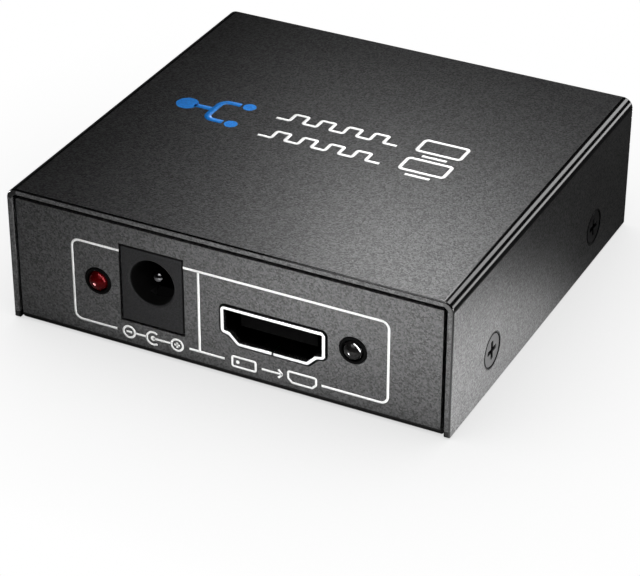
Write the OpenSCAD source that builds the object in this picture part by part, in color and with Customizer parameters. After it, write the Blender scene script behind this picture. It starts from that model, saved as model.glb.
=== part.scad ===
// Digital video splitter in a folded steel case. The front panel holds the power jack, the input
// socket and two indicator lamps, the back panel holds two output sockets with a lamp each, and a
// circuit board on four standoffs joins them.
// Millimetres. The origin is the middle of the underside: +X right, +Y to the back, +Z up.

/* [Case] */
// Width of the case over the cover
case_w = 64; // [62:0.5:90]
// Depth of the case over the cover's edges
case_d = 61; // [58:0.5:90]
// Height of the case
case_h = 20; // [19:0.5:40]
// Thickness of the painted steel sheet
sheet_t = 0.9; // [0.7:0.05:1.2]
// Inner radius of the bends along the cover's top edges
cover_bend_r = 0.6; // [0.2:0.1:2]
// Inner radius of the bends of the base
base_bend_r = 0.3; // [0.1:0.1:1]
// Gap seen between the cover and the end panels
panel_gap = 0.45; // [0.2:0.05:0.8]
// Depth of the end panels behind the cover's edges
panel_recess = 0.1; // [0:0.05:0.5]
// Height of the cover's lower edges above the underside
cover_lift = 0.2; // [0.1:0.05:1]
// Gap between the cover's sides and the base's side flanges
flange_gap = 0.15; // [0.1:0.05:0.4]
// Distance from each end panel's face to the ends of the side flanges
flange_relief = 3; // [2:0.5:8]

/* [Cover screws] */
// Thread diameter of the cover screws
cover_screw_d = 2.5; // [2:0.1:3]
// Length of the cover screws over all
cover_screw_l = 4; // [3.5:0.5:6]
// Diameter of their countersunk heads
cover_head_d = 4.6; // [4:0.1:5.5]
// Height of the straight rim of the heads
cover_head_rim = 0.15; // [0.1:0.05:0.3]
// Depth of the heads below the cover's sides
cover_head_sink = 0.05; // [0:0.05:0.2]
// Distance from the cover's ends to the screw axes
cover_screw_inset = 12.9; // [8:0.1:20]
// Height of the screw axes above the underside
cover_screw_z = 6; // [5:0.1:9]
// Height of the flanges above the screw axes
flange_edge = 3; // [2.5:0.1:6]
// Height of the drawn collars that hold the thread
collar_h = 1.1; // [0.5:0.1:1.5]
// Wall of the drawn collars
collar_wall = 0.8; // [0.5:0.1:1.2]
// Width over the cross recess of a cover screw
cover_recess_w = 2.7; // [2:0.1:3.2]

/* [Board] */
// Thickness of the circuit board
board_t = 1.6; // [1:0.1:2]
// Height of the standoffs between the base and the board
standoff_h = 2.15; // [2:0.05:4]
// Diameter of the standoffs
standoff_d = 4.4; // [3.6:0.1:5]
// Diameter of the standoffs' shanks in the base
shank_d = 3.6; // [3:0.1:4.2]
// Gap between the board's sides and the tips of the cover screws
board_side_gap = 0.8; // [0.4:0.1:2]
// Gap between the board's ends and the end panels
board_end_gap = 0.6; // [0.3:0.1:1.2]
// Distance from the board's sides to the standoff axes
standoff_inset_x = 3.5; // [3:0.1:6]
// Distance from the board's ends to the standoff axes
standoff_inset_y = 14; // [13:0.5:18]
// Thread diameter of the board screws
board_screw_d = 2.5; // [2:0.1:3]
// Length of the board screws' thread in the standoffs
board_screw_grip = 2.4; // [1.5:0.1:2.5]
// Diameter of the board screws' pan heads
board_head_d = 4.5; // [4:0.1:5]
// Height of the pan heads
board_head_h = 1.5; // [1.2:0.1:2]
// Chamfer around the top of the pan heads
board_head_chamfer = 0.4; // [0.2:0.1:0.6]
// Width over the cross recess of a board screw
board_recess_w = 2.7; // [2:0.1:3.2]

/* [Screw recesses] */
// Width of each slot of a cross recess
recess_slot = 0.65; // [0.5:0.05:0.9]
// Depth of a cross recess
recess_depth = 1; // [0.7:0.1:1.2]
// Width over the floor of a cross recess
recess_floor = 1.3; // [1:0.1:1.8]

/* [Video sockets] */
// Place of the input socket across the front panel
input_x = 7.15; // [5:0.05:8]
// Place of the first output socket across the back panel
output_1_x = 14.3; // [13.5:0.1:15]
// Place of the second output socket across the back panel
output_2_x = -9.1; // [-10:0.1:-7]
// Width of a socket's shell
socket_w = 14.95; // [14.5:0.05:15.5]
// Height of a socket's shell
socket_h = 5.45; // [5.2:0.05:5.8]
// Depth of a socket's shell
socket_d = 11.3; // [10:0.1:13]
// Width of the flat underside of a shell
socket_floor_w = 10.1; // [9.5:0.1:11]
// Height of the lower ends of a shell's straight sides above its underside
socket_side_z = 1.5; // [1.3:0.1:1.8]
// Step inwards below the straight sides
socket_step = 1.2; // [0.9:0.1:1.5]
// Drop of that step
socket_step_drop = 0.25; // [0.1:0.05:0.4]
// Wall of a shell
shell_t = 0.45; // [0.3:0.05:0.5]
// Radius of a shell's outer corners
shell_r = 0.6; // [0.55:0.05:0.8]
// Height of a shell's underside above the board
socket_lift = 0.75; // [0.5:0.05:1.5]
// Distance that a shell's mouth stands in front of its panel
socket_proud = 0.2; // [0:0.05:0.5]
// Width of the seam under a shell
seam_w = 0.25; // [0.1:0.05:0.4]
// Width of a grip finger in the top of a shell
finger_w = 1.5; // [1:0.1:2]
// Length of a grip finger
finger_l = 4.6; // [3.5:0.1:5.5]
// Width of the slits around a grip finger
finger_slit = 0.35; // [0.2:0.05:0.5]
// Depth of the free ends of the grip fingers behind the mouth
finger_y = 2.2; // [1.5:0.1:3]
// Distance between the two grip fingers
finger_pitch = 7; // [5:0.1:8]
// Width of a shell's solder legs
leg_w = 1.6; // [1:0.1:2]
// Depth of the front pair of legs behind the mouth
leg_front_y = 4.4; // [4:0.1:5]
// Distance between the front and back pairs of legs
leg_pitch = 5; // [4:0.1:6]
// Length of a leg below the board
leg_stick = 0.9; // [0.4:0.1:1.2]
// Width of the contact tongue
tongue_w = 11; // [10.5:0.1:11.5]
// Thickness of the contact tongue
tongue_t = 1.7; // [1.4:0.1:2]
// Depth of the tongue's tip behind the mouth
tongue_recess = 1.9; // [1:0.1:2.5]
// Depth of the insulator's block behind the mouth
block_y = 7.6; // [7:0.1:9]
// Number of contacts above the tongue, with one fewer below it
contact_n = 10; // [8:1:10]
// Distance between neighbouring contacts
contact_pitch = 1; // [0.8:0.05:1]
// Width of a contact
contact_w = 0.35; // [0.25:0.05:0.4]
// Thickness of a contact
contact_t = 0.15; // [0.1:0.01:0.2]
// Height of a contact above the tongue's face
contact_proud = 0.05; // [0.02:0.01:0.08]
// Depth of the contacts' ends behind the tongue's tip
contact_back = 0.6; // [0.4:0.1:1]
// Length of a contact's foot on the board
contact_foot = 0.9; // [0.6:0.1:1.2]

/* [Power jack] */
// Place of the jack across the front panel
jack_x = -10.5; // [-11:0.1:-7]
// Width of the jack's face
jack_w = 9; // [9:0.1:9.5]
// Height of the jack's face
jack_h = 11; // [10.5:0.1:12]
// Depth of the jack's housing
jack_d = 13.4; // [13:0.1:14]
// Depth of the square block behind the face
jack_face_d = 3.5; // [3:0.1:5]
// Step from the face's sides to the round barrel behind it
barrel_inset = 0.3; // [0.2:0.1:0.5]
// Height of the bore's axis above the board
jack_axis_h = 6.5; // [6.4:0.1:6.8]
// Diameter of the bore
jack_bore_d = 6.4; // [6:0.1:6.6]
// Depth of the bore
jack_bore_l = 9.6; // [9.4:0.1:10]
// Width of the chamfer at the bore's mouth
jack_chamfer = 0.25; // [0.1:0.05:0.4]
// Diameter of the centre pin
pin_d = 2; // [1.9:0.05:2.5]
// Depth of the pin's domed tip behind the face
pin_recess = 1.2; // [0.8:0.1:2]
// Diameter of the pin's root in the back wall
pin_root_d = 2.6; // [2.6:0.1:3]
// Width of the pin's terminal behind the housing
pin_terminal_w = 3; // [2.7:0.1:3.5]
// Thickness of the jack's terminals
terminal_t = 0.4; // [0.3:0.05:0.5]
// Length of the jack's terminals below the board
terminal_stick = 1.2; // [0.8:0.1:1.5]
// Width of the sleeve spring
spring_w = 2.6; // [2:0.1:3]
// Thickness of the sleeve spring
spring_t = 0.3; // [0.2:0.05:0.35]
// Height that the spring's crest stands into the bore at rest
spring_reach = 0.9; // [0.7:0.05:1]
// Depth of the spring's tip behind the face
spring_tip_y = 3; // [2.8:0.1:3.3]
// Depth of the spring's crest behind the face
spring_crest_y = 4.9; // [4.7:0.1:5.2]
// Depth of the spring's root behind the face
spring_root_y = 10.2; // [10:0.1:10.4]
// Height of the spring's root above the board
spring_root_h = 1.9; // [1.8:0.05:2]
// Drop from the spring's crest to its tip
spring_tip_drop = 1.5; // [1.2:0.1:1.7]
// Gap around the spring in its slot
spring_gap = 0.3; // [0.2:0.05:0.4]
// Gap between the spring and the contacts that it works with
spring_contact_gap = 0.1; // [0.05:0.01:0.12]
// Thickness of the housing's floor under the spring
jack_floor = 0.7; // [0.5:0.05:0.8]
// Depth of the switch contact behind the face
switch_y = 8.8; // [8.6:0.1:9]
// Width of the switch contact's blade
switch_w = 2; // [1.6:0.1:2.2]
// Width of the switch contact's finger over the spring
switch_finger_w = 0.8; // [0.6:0.1:1]
// Reach of that finger past the jack's middle
switch_reach = 0.65; // [0.4:0.05:0.9]
// Distance of the switch contact's blade from the jack's middle
switch_x = 3.1; // [2.9:0.05:3.2]

/* [Lamps] */
// Place of the power lamp across the front panel
power_lamp_x = -18.6; // [-22:0.1:-18]
// Place of the signal lamp across the front panel
signal_lamp_x = 18.45; // [18:0.05:22]
// Distance of each output lamp from the middle of its socket
output_lamp_offset = 11.5; // [10.8:0.1:12]
// Height of the lamps' axes above the board
lamp_axis_h = 4.7; // [4:0.1:6]
// Diameter of a lens
lens_d = 3; // [2.8:0.1:3.2]
// Length of a lens over all
lens_l = 5.3; // [4.8:0.1:6]
// Distance that a lens stands in front of its panel
lens_proud = 0.9; // [0.6:0.05:1.2]
// Diameter of the rim at the back of a lens
lens_rim_d = 3.8; // [3.6:0.05:4]
// Thickness of that rim
lens_rim_t = 1; // [0.8:0.1:1.2]
// Wall of a holder's collar around the lens
lamp_collar_wall = 0.4; // [0.3:0.05:0.5]
// Distance that a collar stands in front of its panel
lamp_collar_proud = 0.15; // [0:0.05:0.4]
// Width of a lamp holder
holder_w = 4.8; // [4.6:0.1:5.2]
// Gap between a holder and the panel in front of it
holder_gap = 0.2; // [0.1:0.05:0.5]
// Distance from a lens's back to its holder's back
holder_tail = 0.4; // [0.2:0.1:0.8]
// Thickness of a lamp's leads
lead_t = 0.5; // [0.4:0.05:0.6]
// Distance between the two leads of a lamp
lead_pitch = 2.54; // [2:0.01:3]
// Gap between a holder's back and the leads that drop behind it
lead_gap = 0.3; // [0.2:0.1:0.6]
// Length of the leads below the board
lead_stick = 0.9; // [0.4:0.1:1.2]

/* [Board parts] */
// Place of the splitter chip on the board
splitter_at = [4, 0]; // [-30:0.5:30]
// Width of the splitter chip's body
splitter_w = 10; // [8:0.5:11]
// Thickness of the splitter chip's body
splitter_t = 1.4; // [1:0.1:1.6]
// Number of leads along each side of the splitter chip
splitter_n = 16; // [8:1:18]
// Distance between those leads
splitter_pitch = 0.5; // [0.4:0.05:0.55]
// Place of the control chip on the board
control_at = [-9, 9]; // [-30:0.5:30]
// Size of the control chip's body, across and along its leads
control_size = [3.9, 4.9]; // [3:0.1:6]
// Thickness of the control chip's body
control_t = 1.5; // [1:0.1:1.8]
// Number of leads along each side of the control chip
control_n = 4; // [3:1:4]
// Distance between those leads
control_pitch = 1.27; // [1:0.01:1.27]
// Places of the voltage regulators on the board
regulators_at = [[-20, -4], [-20, 5]]; // [-30:0.5:30]
// Size of a regulator's body, across and along its leads
regulator_size = [3.5, 6.5]; // [3:0.1:7]
// Thickness of a regulator's body
regulator_t = 1.6; // [1.2:0.1:1.8]
// Number of leads at a regulator's front
regulator_n = 3; // [2:1:3]
// Distance between a regulator's leads
regulator_pitch = 2.3; // [2:0.1:2.4]
// Width of a regulator's leads
regulator_lead_w = 0.7; // [0.5:0.1:1]
// Width of a regulator's heat tab
regulator_tab_w = 3; // [2.5:0.1:3.2]
// Thickness of the chips' leads
chip_lead_t = 0.15; // [0.1:0.01:0.2]
// Width of the chips' leads
chip_lead_w = 0.25; // [0.15:0.01:0.3]
// Reach of a lead beyond the body
chip_lead_out = 1; // [0.8:0.1:1.2]
// Length of a lead's foot
chip_lead_foot = 0.5; // [0.4:0.05:0.6]
// Height at which a lead leaves the body
chip_lead_z = 0.7; // [0.5:0.05:0.8]
// Height of the chips' undersides above the board
chip_lift = 0.1; // [0.05:0.05:0.2]
// Diameter of the mark at a chip's first lead
chip_mark_d = 0.8; // [0.5:0.1:1]
// Depth of that mark
chip_mark_depth = 0.1; // [0.05:0.05:0.2]
// Place of the crystal on the board
crystal_at = [4, 11]; // [-30:0.5:30]
// Size of the crystal's can: length, width and height
crystal_size = [10.8, 4.6, 3.5]; // [3:0.1:12]
// Distance between the crystal's leads
crystal_pitch = 4.9; // [4:0.1:5.5]
// Diameter of the crystal's leads
crystal_lead_d = 0.45; // [0.4:0.05:0.6]
// Places of the filter capacitors across the board
capacitors_x = [-7.5, -13.5]; // [-30:0.5:30]
// Gap between the power jack's terminal and the filter capacitors behind it
capacitor_gap = 0.8; // [0.5:0.1:3]
// Diameter of a filter capacitor's can
capacitor_d = 5; // [4:0.1:5.3]
// Height of the can
capacitor_h = 4.6; // [4:0.1:6]
// Width of the square base under the can
capacitor_base_w = 5.3; // [5.3:0.1:5.6]
// Thickness of that base
capacitor_base_t = 0.9; // [0.6:0.1:1.2]
// Place of the power inductor across the board
inductor_x = -10; // [-12:0.5:-8]
// Gap between the filter capacitors and the inductor behind them
inductor_gap = 0.8; // [0.5:0.1:2]
// Width of the inductor's ferrite block
inductor_w = 6; // [5:0.1:6.5]
// Height of the inductor
inductor_h = 2.8; // [2:0.1:3.5]
// Diameter of the round winding window in its top
inductor_window_d = 4.8; // [4:0.1:5]
// Diameter of the core in the middle of that window
inductor_core_d = 3.2; // [2.5:0.1:3.6]
// Depth of the window
inductor_window_h = 0.8; // [0.4:0.1:1.2]
// Place of the protection diode on the board
diode_at = [-10, 2]; // [-30:0.5:30]
// Size of the diode's body: length, width and height
diode_size = [4.3, 2.6, 2.1]; // [2:0.1:5]
// Width of the diode's leads
diode_lead_w = 1.4; // [1:0.1:1.6]
// Size of a chip resistor: length, width and height
resistor_size = [1.6, 0.8, 0.45]; // [0.4:0.05:2]
// Size of a chip capacitor: length, width and height
chip_capacitor_size = [1.6, 0.8, 0.8]; // [0.4:0.05:2]
// Place of the first chip resistor and of the first chip capacitor beside it
chip_rows_at = [[14, -8], [17.5, -8]]; // [-30:0.5:30]
// Distance between the parts of a row
chip_row_pitch = 2; // [1.5:0.1:3]
// Number of chip resistors in their row
resistor_n = 7; // [1:1:8]
// Number of chip capacitors in their row
chip_capacitor_n = 8; // [1:1:9]
// Size of a surge protector beside a socket: length, width and height
surge_size = [2.5, 1.2, 0.6]; // [0.4:0.1:3]
// Distance of the two surge protectors from the middle of their socket
surge_x = 2.8; // [2:0.1:4]
// Gap between a socket's contact feet and its surge protectors
surge_gap = 0.8; // [0.5:0.1:2]

/* [Fits] */
// Gap around what comes through a panel
opening_gap = 0.3; // [0.2:0.05:0.4]
// Gap around the lamp collars in their panel holes
collar_gap = 0.08; // [0.05:0.01:0.15]
// Gap around the head of a countersunk screw
head_gap = 0.08; // [0.04:0.01:0.15]
// Gap around a thread
thread_gap = 0.03; // [0.02:0.01:0.05]
// Gap around a screw in its clearance holes
screw_hole_gap = 0.2; // [0.1:0.05:0.3]
// Gap around legs, terminals and leads in the board
solder_gap = 0.12; // [0.05:0.01:0.2]
// Gap between pieces that seat in one another
seat_gap = 0.02; // [0.01:0.01:0.04]

/* [Hidden] */
$fn = 48;
// Length by which a cut runs past the faces that it opens
over = 1;
// Steps in each rounded corner of an outline
corner_steps = 5;

// Colours
paint = "#2b2b2d";
steel = "#c9ccd0";
nickel = "#d8d9da";
gold = "#d9b45a";
brass = "#c8a24c";
board_green = "#1d5b35";
black_plastic = "#161617";
red_lens = "#a3101a";
smoke_lens = "#241f22";
tin = "#b9bcc0";
ferrite = "#3a3a3d";
ceramic = "#b79a74";

// Heights of the stack on the base's floor
board_z = sheet_t + standoff_h;
board_top = board_z + board_t;

// Base
base_d = case_d - 2 * panel_recess;
panel_w = case_w - 2 * (sheet_t + panel_gap);
panel_top = case_h - sheet_t - panel_gap;
flange_w = case_w - 2 * (sheet_t + flange_gap);
flange_l = base_d - 2 * flange_relief;
flange_top = cover_screw_z + flange_edge;
base_bend_out = base_bend_r + sheet_t;

// Board
board_w = case_w - 2 * (cover_head_sink + cover_screw_l + board_side_gap);
board_d = base_d - 2 * (sheet_t + board_end_gap);
board_screw_l = board_t + board_screw_grip;
standoff_x = board_w / 2 - standoff_inset_x;
standoff_y = board_d / 2 - standoff_inset_y;

// Video sockets, each measured from its panel's face and from the board's top
socket_mouth = -socket_proud;
socket_back = socket_mouth + socket_d;
tongue_z = socket_lift + socket_h / 2;
socket_lip = [
    [-socket_floor_w / 2, 0], [socket_floor_w / 2, 0],
    [socket_w / 2 - socket_step, socket_side_z - socket_step_drop], [socket_w / 2, socket_side_z],
    [socket_w / 2, socket_h], [-socket_w / 2, socket_h],
    [-socket_w / 2, socket_side_z], [socket_step - socket_w / 2, socket_side_z - socket_step_drop]
];

// Power jack, measured from the panel's face and from the board's top
jack_bore_z = jack_axis_h - jack_bore_d / 2;
spring_crest_h = jack_bore_z + spring_reach - spring_t / 2;
spring_slot_w = spring_w + 2 * spring_gap;
spring_root_r = spring_t;
// Shares of the way from the root to the crest, and of the drop to the tip, at which the spring bends
spring_knee = 0.8;
spring_rise = 0.78;
spring_brow = 0.5;
spring_fall = 0.22;
spring_line = [
    [spring_root_y, spring_root_h],
    [spring_root_y + spring_knee * (spring_crest_y - spring_root_y),
     spring_root_h + spring_rise * (spring_crest_h - spring_root_h)],
    [spring_crest_y, spring_crest_h],
    [spring_crest_y + spring_brow * (spring_tip_y - spring_crest_y),
     spring_crest_h - spring_fall * spring_tip_drop],
    [spring_tip_y, spring_crest_h - spring_tip_drop]
];
sleeve_terminal_y = spring_root_y + spring_root_r + spring_contact_gap;
sleeve_terminal_top = spring_root_h + spring_root_r;
// Height of the spring's upper face under the switch contact's finger
spring_slope = atan2(spring_line[1].y - spring_line[0].y, spring_line[0].x - spring_line[1].x);
switch_finger_z = spring_root_h + (spring_root_y - switch_y + switch_finger_w / 2) * tan(spring_slope)
    + spring_t / 2 / cos(spring_slope) + spring_contact_gap;

// Lamps, measured from the panel's face and from the board's top
output_1_lamp_x = output_1_x - output_lamp_offset;
output_2_lamp_x = output_2_x - output_lamp_offset;
lens_back = lens_l - lens_proud;
holder_y = sheet_t + holder_gap;
holder_back = lens_back + holder_tail;
lamp_collar_d = lens_d + 2 * (seat_gap + lamp_collar_wall);
lead_y = holder_back + lead_gap;

// Board parts that stand in a row behind the power jack
capacitor_y = jack_d + terminal_t + capacitor_gap + capacitor_base_w / 2 - base_d / 2;
inductor_y = capacitor_y + capacitor_base_w / 2 + inductor_gap + inductor_w / 2;

// Outlines

function unit(v) = v / norm(v);

function left_of(v) = [-v.y, v.x];

// An anticlockwise outline moved inwards by d, or outwards where d is negative
function inset(outline, d) = [
    for (i = [0 : len(outline) - 1])
        let (n = len(outline), before = outline[(i + n - 1) % n], here = outline[i])
        let (after = outline[(i + 1) % n])
        let (a = left_of(unit(here - before)), b = left_of(unit(after - here)))
        here + d * (a + b) / (1 + a * b)
];

// An outline with an arc of radius r at each corner
function rounded(outline, r) = [
    for (i = [0 : len(outline) - 1])
        let (n = len(outline), here = outline[i])
        let (u = unit(outline[(i + n - 1) % n] - here), v = unit(outline[(i + 1) % n] - here))
        let (half = acos(u * v) / 2, middle = here + unit(u + v) * r / sin(half))
        let (first = here + u * r / tan(half) - middle, last = here + v * r / tan(half) - middle)
        for (k = [0 : corner_steps])
            middle + r * unit(first * (corner_steps - k) + last * k)
];

// A strip of thickness t along a line of points
function strip(line, t) = concat(
    [for (i = [0 : len(line) - 1]) line[i] + t / 2 * strip_side(line, i)],
    [for (i = [len(line) - 1 : -1 : 0]) line[i] - t / 2 * strip_side(line, i)]
);

function strip_side(line, i) =
    let (last = len(line) - 1)
    let (a = left_of(unit(line[max(i, 1)] - line[max(i, 1) - 1])))
    let (b = left_of(unit(line[min(i, last - 1) + 1] - line[min(i, last - 1)])))
    (a + b) / (1 + a * b);

// Extrudes an outline drawn in X and Z from y0 to y1
module slab_y(y0, y1) {
    translate([0, y1, 0]) rotate([90, 0, 0]) linear_extrude(y1 - y0) children();
}

// Extrudes an outline drawn in Y and Z from x0 to x1
module slab_x(x0, x1) {
    translate([x0, 0, 0]) rotate([90, 0, 90]) linear_extrude(x1 - x0) children();
}

// A round rod along Y
module rod_y(d, y0, y1) {
    translate([0, y1, 0]) rotate([90, 0, 0]) cylinder(d = d, h = y1 - y0);
}

// A round rod along X
module rod_x(d, x0, x1) {
    translate([x0, 0, 0]) rotate([0, 90, 0]) cylinder(d = d, h = x1 - x0);
}

// A box given by its lowest and highest corners
module box(low, high) {
    translate(low) cube(high - low);
}

// A quarter of a disc
module quarter(r) {
    intersection() {
        circle(r);
        square(r);
    }
}

// A round rod that stands from 0 to h, with a domed top
module domed_rod(d, h) {
    rotate_extrude() {
        square([d / 2, h - d / 2]);
        translate([0, h - d / 2]) quarter(d / 2);
    }
}

// A flat shape w wide that stands from 0 to h, with its two upper corners rounded
module arch(w, h, r) {
    translate([-w / 2, 0]) square([w, h - r]);
    translate([r - w / 2, 0]) square([w - 2 * r, h]);
    for (side = [0, 1])
        mirror([side, 0]) translate([w / 2 - r, h - r]) quarter(r);
}

// The section of a sheet folded up along both sides of a floor that is w wide, to a height of h
module trough(w, h) {
    difference() {
        translate([0, h]) mirror([0, 1]) arch(w, h, base_bend_out);
        translate([0, h + over]) mirror([0, 1]) arch(w - 2 * sheet_t, h + over - sheet_t, base_bend_r);
    }
}

// Places, each with the panel's face at y = 0, the board's top at z = 0 and +Y into the case

module at_front(x) {
    translate([x, -base_d / 2, board_top]) children();
}

module at_back(x) {
    translate([x, base_d / 2, board_top]) rotate([0, 0, 180]) children();
}

module at_each_socket() {
    at_front(input_x) children();
    at_back(output_1_x) children();
    at_back(output_2_x) children();
}

module at_each_lamp() {
    at_front(power_lamp_x) children();
    at_front(signal_lamp_x) children();
    at_back(output_1_lamp_x) children();
    at_back(output_2_lamp_x) children();
}

module at_each_standoff() {
    for (x = [-1, 1], y = [-1, 1])
        translate([x * standoff_x, y * standoff_y, 0]) children();
}

// With z = 0 on the cover's side and +Z out of it
module at_each_cover_screw() {
    for (turn = [0, 180], end = [-1, 1])
        rotate([0, 0, turn])
            translate([case_w / 2, end * (case_d / 2 - cover_screw_inset), cover_screw_z])
                rotate([0, 90, 0]) children();
}

module on_board(at) {
    translate([at.x, at.y, board_top]) children();
}

// Screws

// A tapered cross cut into a head whose top is at z = 0
module cross_recess(w) {
    intersection() {
        for (turn = [0, 90])
            rotate([0, 0, turn])
                box([-w / 2, -recess_slot / 2, -recess_depth], [w / 2, recess_slot / 2, over]);
        union() {
            translate([0, 0, -recess_depth]) cylinder(d1 = recess_floor, d2 = w, h = recess_depth);
            cylinder(d = w, h = over);
        }
    }
}

// A countersunk head d across, with its rim carried up to top
module countersunk(d, top) {
    rim_z = -cover_head_sink - cover_head_rim;
    cone_h = (d - cover_screw_d) / 2;
    translate([0, 0, rim_z]) cylinder(d = d, h = top - rim_z);
    translate([0, 0, rim_z - cone_h]) cylinder(d1 = cover_screw_d, d2 = d, h = cone_h);
}

module cover_screw() {
    difference() {
        union() {
            countersunk(cover_head_d, -cover_head_sink);
            translate([0, 0, -cover_head_sink - cover_screw_l])
                cylinder(d = cover_screw_d, h = cover_screw_l - cover_head_rim);
        }
        translate([0, 0, -cover_head_sink]) cross_recess(cover_recess_w);
    }
}

module cover_screws() {
    color(paint) at_each_cover_screw() cover_screw();
}

module board_screw() {
    difference() {
        union() {
            cylinder(d = board_head_d, h = board_head_h - board_head_chamfer);
            translate([0, 0, board_head_h - board_head_chamfer])
                cylinder(d1 = board_head_d, d2 = board_head_d - 2 * board_head_chamfer,
                         h = board_head_chamfer);
            translate([0, 0, -board_screw_l]) cylinder(d = board_screw_d, h = board_screw_l);
        }
        translate([0, 0, board_head_h]) cross_recess(board_recess_w);
    }
}

module board_screws() {
    color(steel) at_each_standoff() translate([0, 0, board_top]) board_screw();
}

// Case

module top_cover() {
    color(paint) difference() {
        slab_y(-case_d / 2, case_d / 2) difference() {
            translate([0, cover_lift]) arch(case_w, case_h - cover_lift, cover_bend_r + sheet_t);
            translate([0, -over]) arch(case_w - 2 * sheet_t, case_h - sheet_t + over, cover_bend_r);
        }
        at_each_cover_screw() cover_screw_hole();
    }
}

module cover_screw_hole() {
    hole_h = sheet_t + over;
    countersunk(cover_head_d + 2 * head_gap, over);
    translate([0, 0, -hole_h]) cylinder(d = cover_screw_d + 2 * screw_hole_gap, h = hole_h);
}

// The floor with the two end panels, narrowed along its middle to the flat between the side bends
module base_ends() {
    flat_x = flange_w / 2 - base_bend_out;
    difference() {
        slab_x(-panel_w / 2, panel_w / 2) trough(base_d, panel_top);
        for (side = [0, 1])
            mirror([side, 0, 0])
                box([flat_x, -flange_l / 2, -over], [panel_w / 2 + over, flange_l / 2, panel_top]);
    }
}

module base_tray() {
    flange_in = -sheet_t - flange_gap - sheet_t;
    collar_d = cover_screw_d + 2 * (thread_gap + collar_wall);
    color(paint) difference() {
        union() {
            base_ends();
            slab_y(-flange_l / 2, flange_l / 2) trough(flange_w, flange_top);
            at_each_cover_screw()
                translate([0, 0, flange_in - collar_h]) cylinder(d = collar_d, h = collar_h + sheet_t / 2);
        }
        at_each_cover_screw() {
            countersunk(cover_head_d + 2 * head_gap, over);
            translate([0, 0, flange_in - collar_h - over])
                cylinder(d = cover_screw_d + 2 * thread_gap, h = collar_h + 2 * over);
        }
        at_each_standoff()
            translate([0, 0, -over]) cylinder(d = shank_d + 2 * seat_gap, h = sheet_t + 2 * over);
        at_each_socket() socket_opening();
        at_front(jack_x) jack_opening();
        at_each_lamp() lamp_opening();
    }
}

module board_standoffs() {
    color(brass) at_each_standoff() difference() {
        union() {
            translate([0, 0, sheet_t]) cylinder(d = standoff_d, h = standoff_h);
            translate([0, 0, seat_gap]) cylinder(d = shank_d, h = sheet_t);
        }
        cylinder(d = board_screw_d + 2 * thread_gap, h = board_z + over);
    }
}

module circuit_board() {
    color(board_green) difference() {
        translate([-board_w / 2, -board_d / 2, board_z]) cube([board_w, board_d, board_t]);
        at_each_standoff()
            cylinder(d = board_screw_d + 2 * screw_hole_gap, h = board_top + over);
        at_each_socket() socket_legs(solder_gap);
        at_front(jack_x) {
            pin_terminal(solder_gap);
            sleeve_blade(solder_gap);
            switch_blade(solder_gap);
        }
        at_each_lamp() lamp_lead_drops(solder_gap);
        on_board(crystal_at) crystal_wires(2 * solder_gap);
    }
}

// Video sockets

// A shell's outline moved inwards by d, with its corners rounded to r
module socket_outline(d, r) {
    translate([0, socket_lift]) polygon(rounded(inset(socket_lip, d), r));
}

module socket_opening() {
    slab_y(-over, sheet_t + over) socket_outline(-opening_gap, shell_r + opening_gap);
}

// The four solder legs, which carry on from the shell's straight sides
module socket_legs(gap) {
    for (side = [0, 1], row = [0, 1])
        mirror([side, 0, 0])
            translate([socket_w / 2 - shell_t, socket_mouth + leg_front_y + row * leg_pitch, 0])
                box([-gap, -leg_w / 2 - gap, -board_t - leg_stick],
                    [shell_t + gap, leg_w / 2 + gap, socket_lift + socket_side_z + shell_r]);
}

// The slits that free a grip finger in the top of a shell
module finger_slits() {
    slit_x = finger_w / 2;
    top = [socket_lift + socket_h - shell_t - over, socket_lift + socket_h + over];
    for (side = [0, 1])
        mirror([side, 0, 0]) box([slit_x, 0, top[0]], [slit_x + finger_slit, finger_l, top[1]]);
    box([-slit_x - finger_slit, -finger_slit, top[0]], [slit_x + finger_slit, 0, top[1]]);
}

module socket_shell() {
    color(nickel) difference() {
        union() {
            slab_y(socket_mouth, socket_back) socket_outline(0, shell_r);
            socket_legs(0);
        }
        slab_y(socket_mouth - over, socket_back + over) socket_outline(shell_t, shell_r - shell_t);
        box([-seam_w / 2, socket_mouth - over, 0],
            [seam_w / 2, socket_back + over, socket_lift + 2 * shell_t]);
        for (side = [-1, 1])
            translate([side * finger_pitch / 2, socket_mouth + finger_y, 0]) finger_slits();
    }
}

// Contact number i of n, on the tongue's upper face where up is 1 and its lower face where up is -1
module socket_contact(i, n, up) {
    x = (i - (n - 1) / 2) * contact_pitch;
    face = tongue_z + up * tongue_t / 2;
    low = min(face + up * contact_proud, face + up * (contact_proud - contact_t));
    tail_y = socket_back;
    translate([x - contact_w / 2, 0, 0]) {
        box([0, socket_mouth + tongue_recess + contact_back, low],
            [contact_w, tail_y + contact_t, low + contact_t]);
        box([0, tail_y, 0], [contact_w, tail_y + contact_t, low + contact_t]);
        box([0, tail_y, 0], [contact_w, tail_y + contact_foot, contact_t]);
    }
}

module socket_contact_set() {
    for (i = [0 : contact_n - 1]) socket_contact(i, contact_n, 1);
    for (i = [0 : contact_n - 2]) socket_contact(i, contact_n - 1, -1);
}

module socket_contacts() {
    color(gold) socket_contact_set();
}

module socket_insulator() {
    color(black_plastic) difference() {
        union() {
            slab_y(socket_mouth + block_y, socket_back)
                socket_outline(shell_t + seat_gap, shell_r - shell_t);
            box([-tongue_w / 2, socket_mouth + tongue_recess, tongue_z - tongue_t / 2],
                [tongue_w / 2, socket_back, tongue_z + tongue_t / 2]);
        }
        socket_contact_set();
    }
}

// Power jack

module jack_opening() {
    box([-jack_w / 2 - opening_gap, -over, -opening_gap],
        [jack_w / 2 + opening_gap, sheet_t + over, jack_h + opening_gap]);
}

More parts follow.
